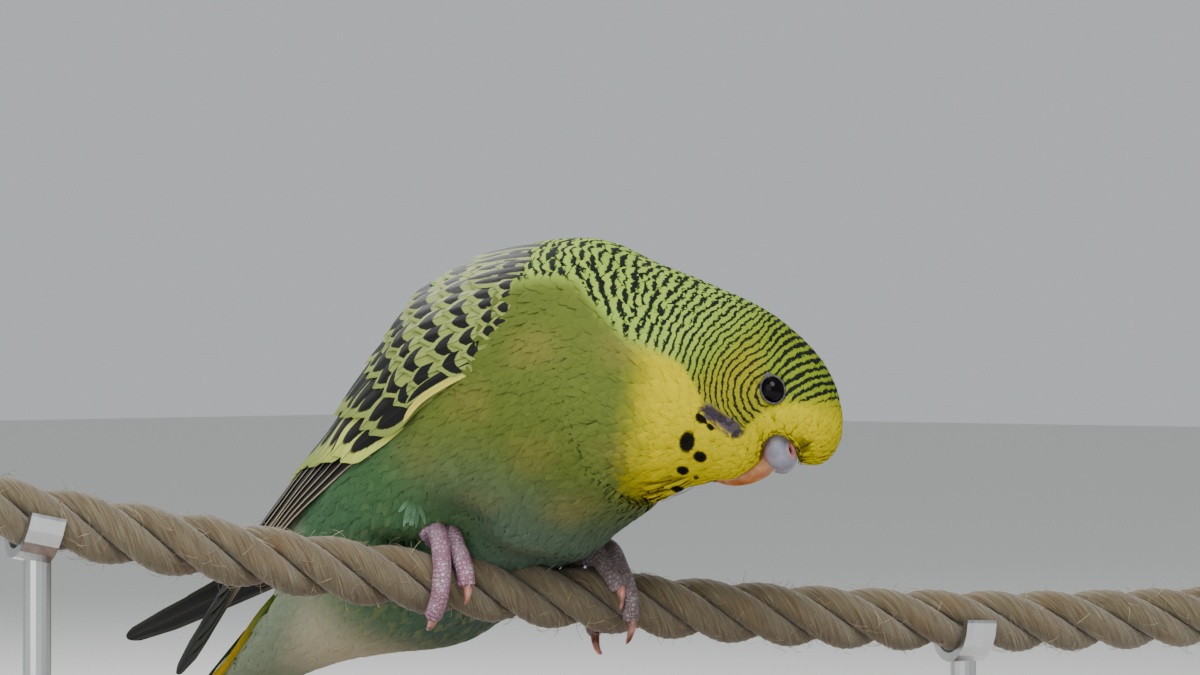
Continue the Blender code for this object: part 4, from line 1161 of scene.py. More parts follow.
# rows of wing feathers, lowest layer first: name, count, first and last root (station, angle),
# first and last tip, half width, height of root and tip over the outline,
# dark patch (middle, half length, half width), margin tint, columns and rows
WING_ROWS = [
    ("primary", 7, (6.4, 82, 5.2, 36), (0.05, 97, 2.3, 44), 3.1, (-1.3, 0.0), (0.46, 0.60, 0.88),
     "edge", 8, 16),
    ("secondary", 12, (7.4, 83, 6.4, 10), (5.55, 73, 3.1, 18), 2.7, (-1.6, 0.15), (0.42, 0.41, 0.66),
     "margin", 8, 16),
    ("greater", 12, (8.25, 84, 7.4, 8), (6.45, 78, 4.7, 14), 2.5, (-1.2, 0.3), (0.60, 0.27, 0.70),
     "margin", 8, 12),
    ("median", 9, (8.6, 82, 8.0, 12), (7.2, 78, 6.0, 16), 2.8, (-1.0, 0.4), (0.79, 0.105, 0.88),
     "margin", 8, 12),
    ("lesser_low", 9, (8.8, 81, 8.4, 16), (7.85, 78, 6.8, 18), 2.6, (-0.9, 0.45), (0.78, 0.105, 0.88),
     "margin", 8, 12),
    ("lesser_mid", 9, (8.95, 79, 8.8, 20), (8.3, 78, 7.55, 20), 2.3, (-0.8, 0.5), (0.77, 0.115, 0.86),
     "margin", 8, 10),
    ("lesser_high", 9, (9.1, 77, 9.1, 24), (8.6, 76, 8.15, 22), 2.0, (-0.8, 0.5), (0.76, 0.11, 0.80),
     "margin", 8, 10),
    ("shoulder", 8, (9.2, 71, 9.35, 28), (8.8, 71, 8.6, 26), 1.7, (-0.7, 0.45), (0.72, 0.13, 0.74),
     "margin", 6, 8),
    ("bend", 8, (9.3, 70, 9.5, 30), (8.98, 68, 8.95, 28), 1.5, (-0.7, 0.4), (0.68, 0.15, 0.66),
     "margin", 6, 8),
    ("scapular", 6, (9.45, 48, 9.65, 22), (8.75, 46, 8.55, 20), 1.6, (-0.6, 0.6), (0.52, 0.42, 0.50),
     "margin", 6, 12),
    ("edge_dark", 1, (8.85, 80, 8.85, 80), (7.5, 84, 7.5, 84), 0.9, (-0.5, 0.45), (0.5, 0.46, 0.9),
     "margin", 6, 12),
    ("edge_strip", 1, (8.9, 83, 8.9, 83), (7.35, 87, 7.35, 87), 0.6, (-0.9, 0.6), (3.0, 0.2, 0.5),
     "strip", 6, 14),
]


def wing_feathers(seed, broad):
    """All rows of a right wing as one set of points, triangles and facts; broad widens primaries."""
    form = wing_outline()
    rng = np.random.default_rng(seed)
    sets = []
    edge = np.array(linear(148, 135, 110))
    strip = np.array(linear(188, 180, 78))
    for row, (name, count, root, tip, half, heights, dark, margin, cols, rows) in enumerate(WING_ROWS):
        f = np.linspace(0, 1, count)
        s0, d0 = root[0] + (root[2] - root[0]) * f, root[1] + (root[3] - root[1]) * f
        s1, d1 = tip[0] + (tip[2] - tip[0]) * f, tip[1] + (tip[3] - tip[1]) * f
        s1 = s1 + rng.normal(0, 0.04, count)
        d1 = d1 + rng.normal(0, 1.0, count)
        x, y, inner, tris = vane_pattern(cols, rows)
        path_s = s0[:, None] + (s1 - s0)[:, None] * x
        path_d = d0[:, None] + (d1 - d0)[:, None] * x
        if name == "primary":
            path_d = path_d - 27 * (1 - f[:, None]) ** 1.2 * np.sin(pi * x) ** 0.8
        middle = ring_points(WING, path_s.ravel(), path_d.ravel())
        near, normal, _ = form.nearest(middle)
        middle = middle.reshape(count, -1, 3)
        normal = normal.reshape(count, -1, 3)
        start, stop = middle[:, [0]], middle[:, [-1]]
        ahead = unit(np.gradient(middle.reshape(count, rows + 1, cols + 1, 3), axis=1))
        ahead = ahead.reshape(count, -1, 3)
        across = np.cross(normal, ahead)
        width = vane_width(x, 0.5, 0.66 if rows > 12 else 0.58)
        widths = half * rng.uniform(0.94, 1.08, count)
        if name == "primary":
            widths = widths * broad
            width = vane_width(x, 0.6, 0.86) * (0.72 + 0.28 * np.clip((1 - x) / 0.5, 0, 1))
        q = middle + across * (y * width * widths[:, None])[..., None]
        roundness = (y ** 2 * np.clip((x - 0.75) / 0.25, 0, 1)) * (0.5 * half)
        q = q - ahead * roundness[..., None]
        near, norm, place = form.nearest(q.reshape(-1, 3))
        stack = row * 0.03 + 0.28 * (1 - f)[:, None] * (row < 3) + 0.10 * (np.arange(count) % 2)[:, None]
        curve = -0.10 * half * y ** 2
        if name == "primary":       # these lie like shingles, the lower edge up
            stack = 0.35 * f[:, None]
            curve = 0.10 * half * y
        height = (heights[0] + (heights[1] - heights[0]) * x ** 0.6 + stack + curve
                  + 0.10 * np.exp(-(y / 0.12) ** 2))
        top = near + norm * height.reshape(-1)[:, None]
        top = top.reshape(count, -1, 3)
        low = (top - 0.10 * norm.reshape(count, -1, 3))[:, inner]
        points = np.concatenate([top, low], axis=1)
        per = points.shape[1]
        roll = rng.random(count)

        def spread(values):
            values = values.reshape(count, len(x), -1)
            return np.concatenate([values, values[:, inner]], axis=1).reshape(count * per, -1)

        place = spread(place)
        local = spread(np.stack([np.broadcast_to(y, (count, len(y))),
                                 np.broadcast_to(x, (count, len(x))),
                                 np.broadcast_to(roll[:, None], (count, len(x)))], -1))
        mid, long, wide = dark
        patch = np.stack([np.full(count, mid), np.full(count, long), np.full(count, wide)], 1)
        patch[:, 0] += rng.normal(0, 0.02, count)
        patch[:, 1] *= rng.uniform(0.85, 1.15, count)
        pale = {"margin": tint("margin"), "edge": edge, "strip": strip}[margin]
        colour = pale * (1 + 0.14 * (roll[:, None] - 0.5))
        if name == "secondary":
            colour = blend(colour, np.array(linear(180, 190, 88)), smooth(0.5, 0.0, f))
            patch[:, 2] = np.interp(f, [0, 1], [0.58, 0.7])
        root_uv = bake_place(np.stack([s0 * 1.6, d0 + 20], 1))
        uv = spread(root_uv[:, None] + np.stack([y * 0.0014, x * 0.003], 1)[None])
        sets.append({"points": points.reshape(-1, 3), "place": place, "vane": local,
                     "patch": np.repeat(patch, per, axis=0),
                     "tint": darker_tips(np.repeat(colour, per, axis=0), local, name),
                     "rim": np.tile(np.concatenate([~inner, np.zeros(inner.sum(), bool)]),
                                    count)[:, None],
                     "uv": uv, "tris": (tris[None] + (np.arange(count) * per)[:, None, None]
                                        ).reshape(-1, 3)})
    return sets


def darker_tips(colour, local, name):
    """Margins of the primaries darken towards the wing's tip."""
    if name != "primary":
        return colour
    return blend(colour, np.array(linear(34, 34, 28)), smooth(0.55, 0.8, local[:, 1]))


def merge_sets(sets):
    out = {key: np.vstack([s[key] for s in sets]) for key in sets[0] if key != "tris"}
    start, tris = 0, []
    for s in sets:
        tris.append(s["tris"] + start)
        start += len(s["points"])
    out["tris"] = np.vstack(tris)
    return out


class BUDGIE_OT_wings(Operator):
    """Both folded wings, every flight feather and covert a vane of its own"""
    bl_idname = "budgie.wings"
    bl_label = "Wings"

    def execute(self, context):
        for name, side, seed, broad in (("wing_right", 1, 21, 1.0), ("wing_left", -1, 22, 1.35)):
            made = merge_sets(wing_feathers(seed, broad))
            points = made["points"]
            if side < 0:
                points = cross_left(points, made["place"][:, 0])
            tris = outward(points, made["tris"])
            dark = np.tile(tint("wing"), (len(points), 1))
            piece = build_mesh("feathers_" + name, points, tris, quill_material(),
                               {"vane": made["vane"], "patch": made["patch"]},
                               {"tint": made["tint"], "dark": dark}, made["uv"],
                               rim=made["rim"][:, 0])
            print(name, len(tris))
            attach(piece, "root")
            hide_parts(name)
        return {"FINISHED"}


TAIL_ROOT = -50.0
TAIL_OFF = -33.4
TAIL_CLOSE = 1.8
TAIL_CROSS = 0.3
TAIL_LAYER = 0.85
TAIL_PAIRS = 6
TAIL_LONG = -122.0
TAIL_SHORT = -76.0
TAIL_HALF = 3.1


class BUDGIE_OT_tail(Operator):
    """Six pairs of stepped tail feathers"""
    bl_idname = "budgie.tail"
    bl_label = "Tail"

    def execute(self, context):
        cols, rows = 8, 26
        x, y, inner, tris = vane_pattern(cols, rows)
        sets = []
        for k in range(TAIL_PAIRS):
            f = k / (TAIL_PAIRS - 1)
            end = TAIL_LONG + (TAIL_SHORT - TAIL_LONG) * f ** 0.85
            for side in (1, -1):
                root = TAIL_ROOT + 14.0 * (k > 2)
                t = root + (end - root) * x
                spread = 3.0 * smooth(-56, -38, t) * np.clip(k - 2, 0, 2) / 2
                lateral = side * (2.9 + 0.6 * k + 0.5 * k * x - TAIL_CLOSE * (k == 0) * x + spread)
                off = TAIL_OFF + TAIL_LAYER * k + 0.4 * x + TAIL_CROSS * 0.6 * (side > 0)
                middle = t[:, None] * SPINE + off[:, None] * BELLY + lateral[:, None] * RIGHT
                width = vane_width(x, 0.6, 0.7) * TAIL_HALF
                drop = (y * width) ** 2 / 40 - 0.12 * np.exp(-(y / 0.12) ** 2)
                rounded = y ** 2 * np.clip((x - 0.82) / 0.18, 0, 1) * 4.0
                top = (middle + RIGHT * (y * width)[:, None] + BELLY * drop[:, None]
                       + SPINE * rounded[:, None])
                low = (top + BELLY * 0.18)[inner]
                points = np.vstack([top, low])
                facts = np.stack([y, x, np.full(len(x), 0.31 * k + 0.2 * (side > 0))], 1)
                facts = np.vstack([facts, facts[inner]])
                if k < 2:
                    pale, patch = np.array(linear(60, 92, 84)), (0.5, 0.62, 0.93)
                else:
                    pale, patch = np.array(linear(200, 172, 30)), (1.02, 0.30, 1.1)
                base = bake_place(np.array([[1.2 + 0.3 * k, 40.0 + 25 * k + 170 * (side > 0)]]))
                uv = base + np.stack([y * 0.0014, x * 0.003], 1)
                pale = blend(np.tile(pale, (len(x), 1)), np.array(linear(132, 146, 62)),
                             (k > 2) * smooth(-50, -40, t))
                pale = np.vstack([pale, pale[inner]])
                rim = np.concatenate([~inner, np.zeros(inner.sum(), bool)])[:, None]
                sets.append({"points": points, "vane": facts, "tris": tris, "rim": rim,
                             "patch": np.tile(patch, (len(points), 1)),
                             "tint": pale,
                             "uv": np.vstack([uv, uv[inner]])})
        made = merge_sets(sets)
        dark = np.tile(np.array(linear(28, 44, 46)), (len(made["points"]), 1))
        piece = build_mesh("feathers_tail", made["points"],
                           outward(made["points"], made["tris"]), quill_material(),
                           {"vane": made["vane"], "patch": made["patch"]},
                           {"tint": made["tint"], "dark": dark}, made["uv"],
                           rim=made["rim"][:, 0])
        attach(piece, "root")
        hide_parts("tail")
        return {"FINISHED"}


# eyes
EYE_RADIUS = 2.5
EYE_DEEP = 1.55


class BUDGIE_OT_eyes(Operator):
    """Dark glossy eyes in rings of bare wrinkled skin"""
    bl_idname = "budgie.eyes"
    bl_label = "Eyes"

    def execute(self, context):
        eye_look, t, shader = new_material("eye", 0.05, Specular_IOR_Level=0.10)
        shade = t.noise(t.place(), 1400.0, 2.0)
        t.tree.links.new(t.mix(linear(5, 4, 5), linear(20, 12, 9), t.ramp(shade, 0.4, 0.9)),
                         shader.inputs["Base Color"])
        lid_look, t, shader = new_material("eyelid", 0.55, Specular_IOR_Level=0.35)
        grain = t.noise(t.place(), 2600.0, 3.0)
        t.tree.links.new(t.mix(linear(44, 42, 46), linear(80, 76, 82), t.ramp(grain, 0.3, 0.7)),
                         shader.inputs["Base Color"])
        bump(t, shader, grain, 0.5, 0.0001)
        for name, side in (("eye_right", 1), ("eye_left", -1)):
            place, across, over, out = head_axes(side)
            centre = place - out * EYE_DEEP
            points, tris = ball(centre, (EYE_RADIUS * 0.88, EYE_RADIUS, EYE_RADIUS),
                                (across, over, out), 40, 56)
            eye = build_mesh(name.replace("eye", "eyeball"), points, tris, eye_look)
            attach(eye, "root")
            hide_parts(name)
            lid = build_mesh(name.replace("eye", "eyelid"), *lid_mesh(place, across, over, out),
                             lid_look)
            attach(lid, "root")
        return {"FINISHED"}


def lid_mesh(place, across, over, out):
    """Ring of bare skin with small folds, drawn to a point behind the eye."""
    around, sides = 96, 18
    th = np.arange(around) * 2 * pi / around
    point = np.exp(-((th - pi * 0.5) / 0.22) ** 2)
    half_x, half_y = 1.86, 2.2
    rings = []
    for i in range(around):
        radial = across * cos(th[i]) * half_x + over * sin(th[i]) * half_y
        outwards = unit(radial)
        fold = 0.02 * sin(th[i] * 34) + 0.012 * sin(th[i] * 53 + 1)
        thick = 0.19 + 0.012 * sin(th[i] * 21)
        wide = thick * (1 + 1.6 * point[i])
        ph = np.arange(sides) * 2 * pi / sides
        ring = (place - out * 0.12 + radial * (1 + 0.10 * point[i])
                + np.outer(np.cos(ph) * wide, outwards)
                + np.outer((np.sin(ph) * 0.34 + fold * (np.sin(ph) > 0)) * (1 - 0.3 * point[i]), out))
        rings.append(ring)
    rings = np.array(rings)
    points, tris = loft(np.concatenate([rings, rings[:1]]), caps=False)
    tris = tris % (around * sides)
    return points[:around * sides], outward(points[:around * sides], tris)


# cere and bill
BILL_UPPER = [
    (5.6, -2.8, 3.0, 2.0),
    (8.4, -3.6, 3.3, 2.4),
    (9.9, -5.6, 2.8, 2.2),
    (10.4, -8.2, 2.1, 1.8),
    (10.4, -10.5, 1.3, 1.15),
    (9.8, -12.7, 0.4, 0.4),
]
BILL_LOWER = [
    (4.6, -8.6, 2.0, 1.2),
    (6.8, -9.2, 2.2, 1.4),
    (8.2, -10.1, 1.7, 1.0),
    (8.9, -11.4, 0.8, 0.5),
]
CERE_LOBE = (8.45, -1.75, 3.2)
CERE_RADII = (3.75, 2.8, 3.3)
NOSTRIL = (9.5, -0.1, 5.4)


def horn(stations, sides=48, steps=60, ridge=0.0):
    """Curved horn through stations in the head's middle plane."""
    rows = rows_at(np.array(stations, float), np.linspace(0, len(stations) - 1, steps))
    path = np.array([head_point(f, u) for f, u, _, _ in rows])
    ahead = unit(np.gradient(path, axis=0))
    over = np.cross(ahead, CHEEK)
    angles = np.arange(sides) * 2 * pi / sides
    rings = []
    for i in range(steps):
        keel = 1 + ridge * np.exp(-((angles - pi / 2) / 0.35) ** 2)
        rings.append(path[i] + rows[i, 2] * np.cos(angles)[:, None] * CHEEK
                     + (rows[i, 3] * np.sin(angles) * keel)[:, None] * over[i])
    points, tris = loft(rings)
    return points, outward(points, tris)


class BUDGIE_OT_bill(Operator):
    """Cere with its nostrils, and both halves of the bill"""
    bl_idname = "budgie.bill"
    bl_label = "Cere and bill"

    def execute(self, context):
        colours = context.scene.budgie_colours
        horn_look, t, shader = new_material("bill", 0.32, Specular_IOR_Level=0.45, Coat_Weight=0.25,
                                            Coat_Roughness=0.25, Subsurface_Weight=0.12,
                                            Subsurface_Scale=0.002)
        fine = t.noise(t.place((1, 1, 1)), 520.0, 3.0)
        lines = t.noise(t.place((300, 300, 1400), (0.4, 0.2, 0.7)), 1.0, 3.0)
        base = t.mix(tuple(colours.bill), linear(188, 134, 84), t.ramp(fine, 0.25, 0.85))
        base = t.mix(base, linear(156, 96, 46), t.math("MULTIPLY", t.ramp(lines, 0.45, 0.8), 0.4))
        t.tree.links.new(base, shader.inputs["Base Color"])
        bump(t, shader, lines, 0.25, 0.00015)
        wax_look, t, shader = new_material("cere", 0.42, Specular_IOR_Level=0.45,
                                           Subsurface_Weight=0.2, Subsurface_Scale=0.002)
        cloud = t.noise(t.place(), 420.0, 3.0)
        pore = t.noise(t.place(), 3400.0, 2.0)
        base = t.mix(tuple(colours.cere), linear(142, 138, 150), t.ramp(cloud, 0.36, 0.72))
        near = t.attribute("rim").outputs["Fac"]
        base = t.mix(base, linear(176, 112, 108), t.ramp(near, 0.0, 0.55))
        # near black painted shade inside each nostril's hollow
        nostril_shade = t.ramp(near, 0.55, 0.9)
        base = t.mix(base, linear(40, 22, 22), nostril_shade)
        t.tree.links.new(base, shader.inputs["Base Color"])
        bump(t, shader, pore, 0.18, 0.0001)
        axes = (FACE, CROWN, CHEEK)
        f, u, w = CERE_LOBE
        lobes = [ball(head_point(f, u, w * s), CERE_RADII, axes, 48, 64) for s in (1, -1)]
        cere = fused("cere_skin", lobes, 0.11, wax_look, 10)
        dent_cere(cere)
        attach(cere, "root")
        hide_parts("cere")
        for name, stations, ridge in (("bill_upper", BILL_UPPER, 0.06), ("bill_lower", BILL_LOWER, 0.0)):
            piece = build_mesh(name + "_horn", *horn(stations, ridge=ridge), horn_look)
            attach(piece, "root")
            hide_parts(name)
        return {"FINISHED"}


def dent_cere(cere):
    """Press the nostrils in, with a raised pink rim round each and painted shade inside each hollow."""
    mesh = cere.data
    points = np.empty(len(mesh.vertices) * 3)
    mesh.vertices.foreach_get("co", points)
    points = points.reshape(-1, 3) / MM - (0, 0, ROPE_HEIGHT)
    normals = np.empty(len(mesh.vertices) * 3)
    mesh.vertices.foreach_get("normal", normals)
    normals = normals.reshape(-1, 3)
    f, u, c = head_place(points)
    rim = np.zeros(len(points))
    shift = np.zeros(len(points))
    for side in (1, -1):
        d = np.sqrt(((f - NOSTRIL[0]) / 0.80) ** 2 + ((u - NOSTRIL[1]) / 0.38) ** 2
                    + ((c - NOSTRIL[2] * side) / 1.3) ** 2)
        shift += -0.9 * smooth(1.15, 0.35, d) + 0.12 * np.exp(-((d - 1.5) / 0.4) ** 2)
        rim = np.maximum(rim, 0.45 * smooth(2.2, 1.2, d))
        # inside each nostril the value passes 0.55, where the cere is painted near black as shade
        rim = np.maximum(rim, smooth(1.0, 0.6, d))
    groove = np.exp(-(c / 0.5) ** 2)
    shift += -0.15 * groove
    rim = np.maximum(rim, 0.30 * smooth(-2.6, -4.4, u + 0.25 * (f - 8)))
    points = points + normals * shift[:, None]
    mesh.vertices.foreach_set("co", put(points).ravel())
    mesh.attributes.new("rim", "FLOAT", "POINT").data.foreach_set("value", rim.astype(np.float32))
    mesh.update()


# rope
ROPE_RADIUS = 5.1
ROPE_LAY = 32.0
ROPE_LEFT = -88.0
ROPE_RIGHT = 124.0
ROPE_SKEW = 0.42
ROPE_SAG = (-0.55, -0.1357, 0.00064, 2.4e-7)
STRAND_RADIUS = 2.45
STRAND_ORBIT = 2.68


def rope_point(a):
    """Centre line of the rope, a millimetres to the viewer's right."""
    z = sum(c * a ** k for k, c in enumerate(ROPE_SAG))
    return seen(a, ROPE_SKEW * a, z)


def rope_frame(a):
    """Along, towards the viewer, and up at one place of the rope."""
    along = unit(rope_point(a + 0.5) - rope_point(a - 0.5))
    near = unit(np.cross(along, (0, 0, 1)))
    if np.dot(near, seen(0, -1, 0)) < 0:
        near = -near
    up = np.cross(near, along)
    return along, near, up if up[2] > 0 else -up


def strand(first, steps=620, sides=44):
    """One strand of yarns, laid round the rope's centre line."""
    stretch = sqrt(1 + ROPE_SKEW ** 2)
    stations = np.linspace(ROPE_LEFT, ROPE_RIGHT, steps)
    path, outs = [], []
    for a in stations:
        along, near, up = rope_frame(a)
        turn = 2 * pi * a * stretch / ROPE_LAY + first
        out = cos(turn) * up + sin(turn) * near
        path.append(rope_point(a) + STRAND_ORBIT * out)
        outs.append(out)
    path, outs = np.array(path), np.array(outs)
    ahead = unit(np.gradient(path, axis=0))
    outs = unit(outs - ahead * (outs * ahead).sum(1)[:, None])
    side = np.cross(ahead, outs)
    angles = np.arange(sides) * 2 * pi / sides
    length = np.concatenate([[0], np.cumsum(np.linalg.norm(np.diff(path, axis=0), axis=1))])
    yarn = np.sin(9 * angles[None] - 2 * pi * length[:, None] / 3.6 + first)
    fine = np.sin(23 * angles[None] - 2 * pi * length[:, None] / 1.35 + 2 * first)
    radius = STRAND_RADIUS * (1 + 0.022 * yarn + 0.010 * fine)
    # pressed flatter where the strands meet
    radius = radius * (1 - 0.06 * (np.cos(angles) < -0.2))
    rings = (path[:, None] + radius[..., None] * (np.cos(angles)[None, :, None] * outs[:, None]
                                                  + np.sin(angles)[None, :, None] * side[:, None]))
    points, tris = loft(rings)
    turn = np.concatenate([np.tile(angles / (2 * pi), steps), [0, 0]])
    run = np.concatenate([np.repeat(length, sides), [0, length[-1]]])
    return points, outward(points, tris), np.stack([turn, run, np.full(len(points), first)], 1)


def fibre_tree():
    """Geometry nodes that scatter short bent fibres over a mesh."""
    tree = bpy.data.node_groups.new("Loose fibres", "GeometryNodeTree")
    face = tree.interface
    face.new_socket("Geometry", in_out="INPUT", socket_type="NodeSocketGeometry")
    for key, value in (("Density", 100.0), ("Length", 0.003), ("Radius", 0.00004)):
        face.new_socket(key, in_out="INPUT", socket_type="NodeSocketFloat").default_value = value
    face.new_socket("Material", in_out="INPUT", socket_type="NodeSocketMaterial")
    face.new_socket("Geometry", in_out="OUTPUT", socket_type="NodeSocketGeometry")
    new, link = tree.nodes.new, tree.links.new
    ins, outs = new("NodeGroupInput"), new("NodeGroupOutput")
    spread = new("GeometryNodeDistributePointsOnFaces")
    spread.inputs["Seed"].default_value = 7
    link(ins.outputs["Geometry"], spread.inputs["Mesh"])
    link(ins.outputs["Density"], spread.inputs["Density"])
    arc = new("GeometryNodeCurveQuadraticBezier")
    arc.inputs["Resolution"].default_value = 4
    arc.inputs["Start"].default_value = (0, 0, 0)
    arc.inputs["Middle"].default_value = (0.35, 0, 0.35)
    arc.inputs["End"].default_value = (1.0, 0.1, 0.25)
    grow = new("GeometryNodeTransform")
    size_of = new("ShaderNodeCombineXYZ")
    for k in range(3):
        link(ins.outputs["Length"], size_of.inputs[k])
    link(arc.outputs[0], grow.inputs["Geometry"])
    link(size_of.outputs[0], grow.inputs["Scale"])
    ring = new("GeometryNodeCurvePrimitiveCircle")
    ring.inputs["Resolution"].default_value = 3
    link(ins.outputs["Radius"], ring.inputs["Radius"])
    body = new("GeometryNodeCurveToMesh")
    body.inputs["Fill Caps"].default_value = True
    link(grow.outputs[0], body.inputs["Curve"])
    link(ring.outputs[0], body.inputs["Profile Curve"])
    place = new("GeometryNodeInstanceOnPoints")
    link(spread.outputs["Points"], place.inputs["Points"])
    link(body.outputs[0], place.inputs["Instance"])
    spin = new("FunctionNodeRandomValue")
    spin.data_type = "FLOAT_VECTOR"
    spin.inputs[0].default_value = (-0.35, -0.2, -3.14)
    spin.inputs[1].default_value = (0.35, 0.5, 3.14)
    spin.inputs["Seed"].default_value = 3
    turned = new("FunctionNodeRotateRotation")
    turned.rotation_space = "LOCAL"
    as_rotation = new("FunctionNodeEulerToRotation")
    link(spin.outputs[0], as_rotation.inputs[0])
    link(spread.outputs["Rotation"], turned.inputs[0])
    link(as_rotation.outputs[0], turned.inputs[1])
    link(turned.outputs[0], place.inputs["Rotation"])
    vary = new("FunctionNodeRandomValue")
    vary.inputs[2].default_value = 0.35
    vary.inputs[3].default_value = 1.25
    vary.inputs["Seed"].default_value = 5
    link(vary.outputs[1], place.inputs["Scale"])
    real = new("GeometryNodeRealizeInstances")
    paint = new("GeometryNodeSetMaterial")
    link(place.outputs[0], real.inputs[0])
    link(real.outputs[0], paint.inputs["Geometry"])
    link(ins.outputs["Material"], paint.inputs["Material"])
    link(paint.outputs[0], outs.inputs[0])
    return tree


def set_input(step, name, value):
    """Set a geometry nodes input by its socket's identifier."""
    for item in step.node_group.interface.items_tree:
        if item.item_type == "SOCKET" and item.in_out == "INPUT" and item.name == name:
            step[item.identifier] = value
            return
    raise RuntimeError("no input named " + name)


class BUDGIE_OT_rope(Operator):
    """Three laid strands of dry fibre with loose hairs"""
    bl_idname = "budgie.rope"
    bl_label = "Rope"

    def execute(self, context):
        colours = context.scene.budgie_colours
        look, t, shader = new_material("rope fibre", 0.86, Specular_IOR_Level=0.18,
                                       Sheen_Weight=0.25, Sheen_Roughness=0.5)
        parts = t.node("ShaderNodeSeparateXYZ", {0: t.attribute("lay").outputs["Vector"]})
        slant = t.math("SUBTRACT", t.math("MULTIPLY", parts.outputs[0], 90.0),
                       t.math("MULTIPLY", parts.outputs[1], 2.5))
        across = t.node("ShaderNodeCombineXYZ", {0: slant, 1: t.math("MULTIPLY", parts.outputs[1], 0.35),
                                                 2: parts.outputs[2]}).outputs[0]
        fibre = t.noise(across, 0.8, 4.0, 0.6)
        cloud = t.noise(t.place(), 160.0, 3.0)
        base = t.mix(linear(84, 64, 42), tuple(colours.rope), t.ramp(fibre, 0.32, 0.6))
        base = t.mix(base, linear(160, 146, 120), t.math("MULTIPLY", t.ramp(fibre, 0.58, 0.8), 0.7))
        base = t.mix(base, linear(112, 88, 58), t.math("MULTIPLY", t.ramp(cloud, 0.5, 0.8), 0.5))
        t.tree.links.new(base, shader.inputs["Base Color"])
        bump(t, shader, fibre, 0.7, 0.0004)
        strands = [strand(2 * pi * k / 3) for k in range(3)]
        start, tris = 0, []
        for p, q, _ in strands:
            tris.append(q + start)
            start += len(p)
        rope = build_mesh("rope_strands", np.vstack([s[0] for s in strands]), np.vstack(tris), look,
                          {"lay": np.vstack([s[2] for s in strands])})
        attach(rope, "root")
        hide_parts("rope")
        hair_look, t, shader = new_material("loose fibre", 0.8, Specular_IOR_Level=0.2)
        shade = t.noise(t.place(), 300.0, 2.0)
        t.tree.links.new(t.mix(linear(120, 100, 74), linear(178, 164, 138), t.ramp(shade, 0.3, 0.7)),
                         shader.inputs["Base Color"])
        hair = bpy.data.objects.new("rope_hairs", rope.data.copy())
        context.scene.collection.objects.link(hair)
        hair.data.materials.clear()
        step = hair.modifiers.new("fibres", "NODES")
        step.node_group = fibre_tree()
        area = sum(p.area for p in hair.data.polygons)
        set_input(step, "Density", context.scene.budgie_sizes.fibre_count / area)
        set_input(step, "Length", context.scene.budgie_sizes.fibre_length)
        set_input(step, "Radius", 0.000035)
        set_input(step, "Material", hair_look)
        apply_modifiers(hair)
        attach(hair, "root")
        print("rope hairs", len(hair.data.polygons))
        return {"FINISHED"}


# feet
TOE_RADIUS = 1.62
KNUCKLE_RISE = 1.7
TOE_PATH = ROPE_RADIUS + GAP + TOE_RADIUS
FOOT_RIGHT = -15.0
FOOT_LEFT = 12.0
# toes: station along the rope at root and tip, first and last angle from the rope's
# top towards the viewer, claw's length
TOES_RIGHT = {
    "outer": (-0.3, 0.2, -18, 142, 3.4),
    "inner": (1.7, 4.0, -14, 90, 3.8),
    "hind_outer": (-0.8, -4.4, 12, -104, 4.5),
    "hind_inner": (1.6, 2.6, 8, -84, 4.0),
}
TOES_LEFT = {
    "outer": (0.4, 3.6, -20, 112, 5.0),
    "inner": (-2.2, 1.2, -14, 74, 4.0),
    "hind_outer": (1.2, 2.6, 10, -140, 5.5),
    "hind_inner": (-1.2, -3.0, 8, -84, 4.0),
}
SCUTE = 0.72            # length of one horny ring of a toe


def toe_path(foot, spec, count):
    """Middle line of a toe wrapped over the rope."""
    start, stop, first, last, _ = spec
    path = []
    for i in range(count + 1):
        f = i / count
        a = foot + start + (stop - start) * f
        phi = radians(first + (last - first) * f)
        _, near, up = rope_frame(a)
        reach = TOE_PATH + KNUCKLE_RISE * sin(pi * min(1.0, 0.25 + f * 1.5)) ** 2
        path.append(rope_point(a) + reach * (sin(phi) * near + cos(phi) * up))
    return np.array(path)


def toe_mesh(foot, spec):
    """Toe with horny rings above and plump joints below."""
    path = toe_path(foot, spec, 110)
    length = np.concatenate([[0], np.cumsum(np.linalg.norm(np.diff(path, axis=0), axis=1))])
    f = length / length[-1]
    sides = 30
    ahead = unit(np.gradient(path, axis=0))
    centre = np.array([rope_point(foot + spec[0] + (spec[1] - spec[0]) * k) for k in f])
    out = unit(path - centre)
    out = unit(out - ahead * (out * ahead).sum(1)[:, None])
    side = np.cross(ahead, out)
    angles = np.arange(sides) * 2 * pi / sides
    upper = np.clip(np.cos(angles), 0, 1) ** 0.5
    saw = (length / SCUTE) % 1.0
    ringed = 0.13 * (np.sqrt(np.clip(1 - (2 * saw - 1) ** 2, 0, 1)) - 0.6)
    joints = 0.07 * np.cos(2 * pi * 3 * f)
    radius = TOE_RADIUS * (1 - 0.14 * f)[:, None] * (
        1 + ringed[:, None] * upper[None] + joints[:, None] * np.clip(-np.cos(angles), 0, 1)[None])
    tip = np.sqrt(np.clip(1 - (np.clip(f - 0.955, 0, 1) / 0.047) ** 2, 0.12, 1))
    radius = radius * tip[:, None]
    rings = path[:, None] + radius[..., None] * (np.cos(angles)[None, :, None] * out[:, None]
                                                 + np.sin(angles)[None, :, None] * side[:, None])
    return loft(rings)


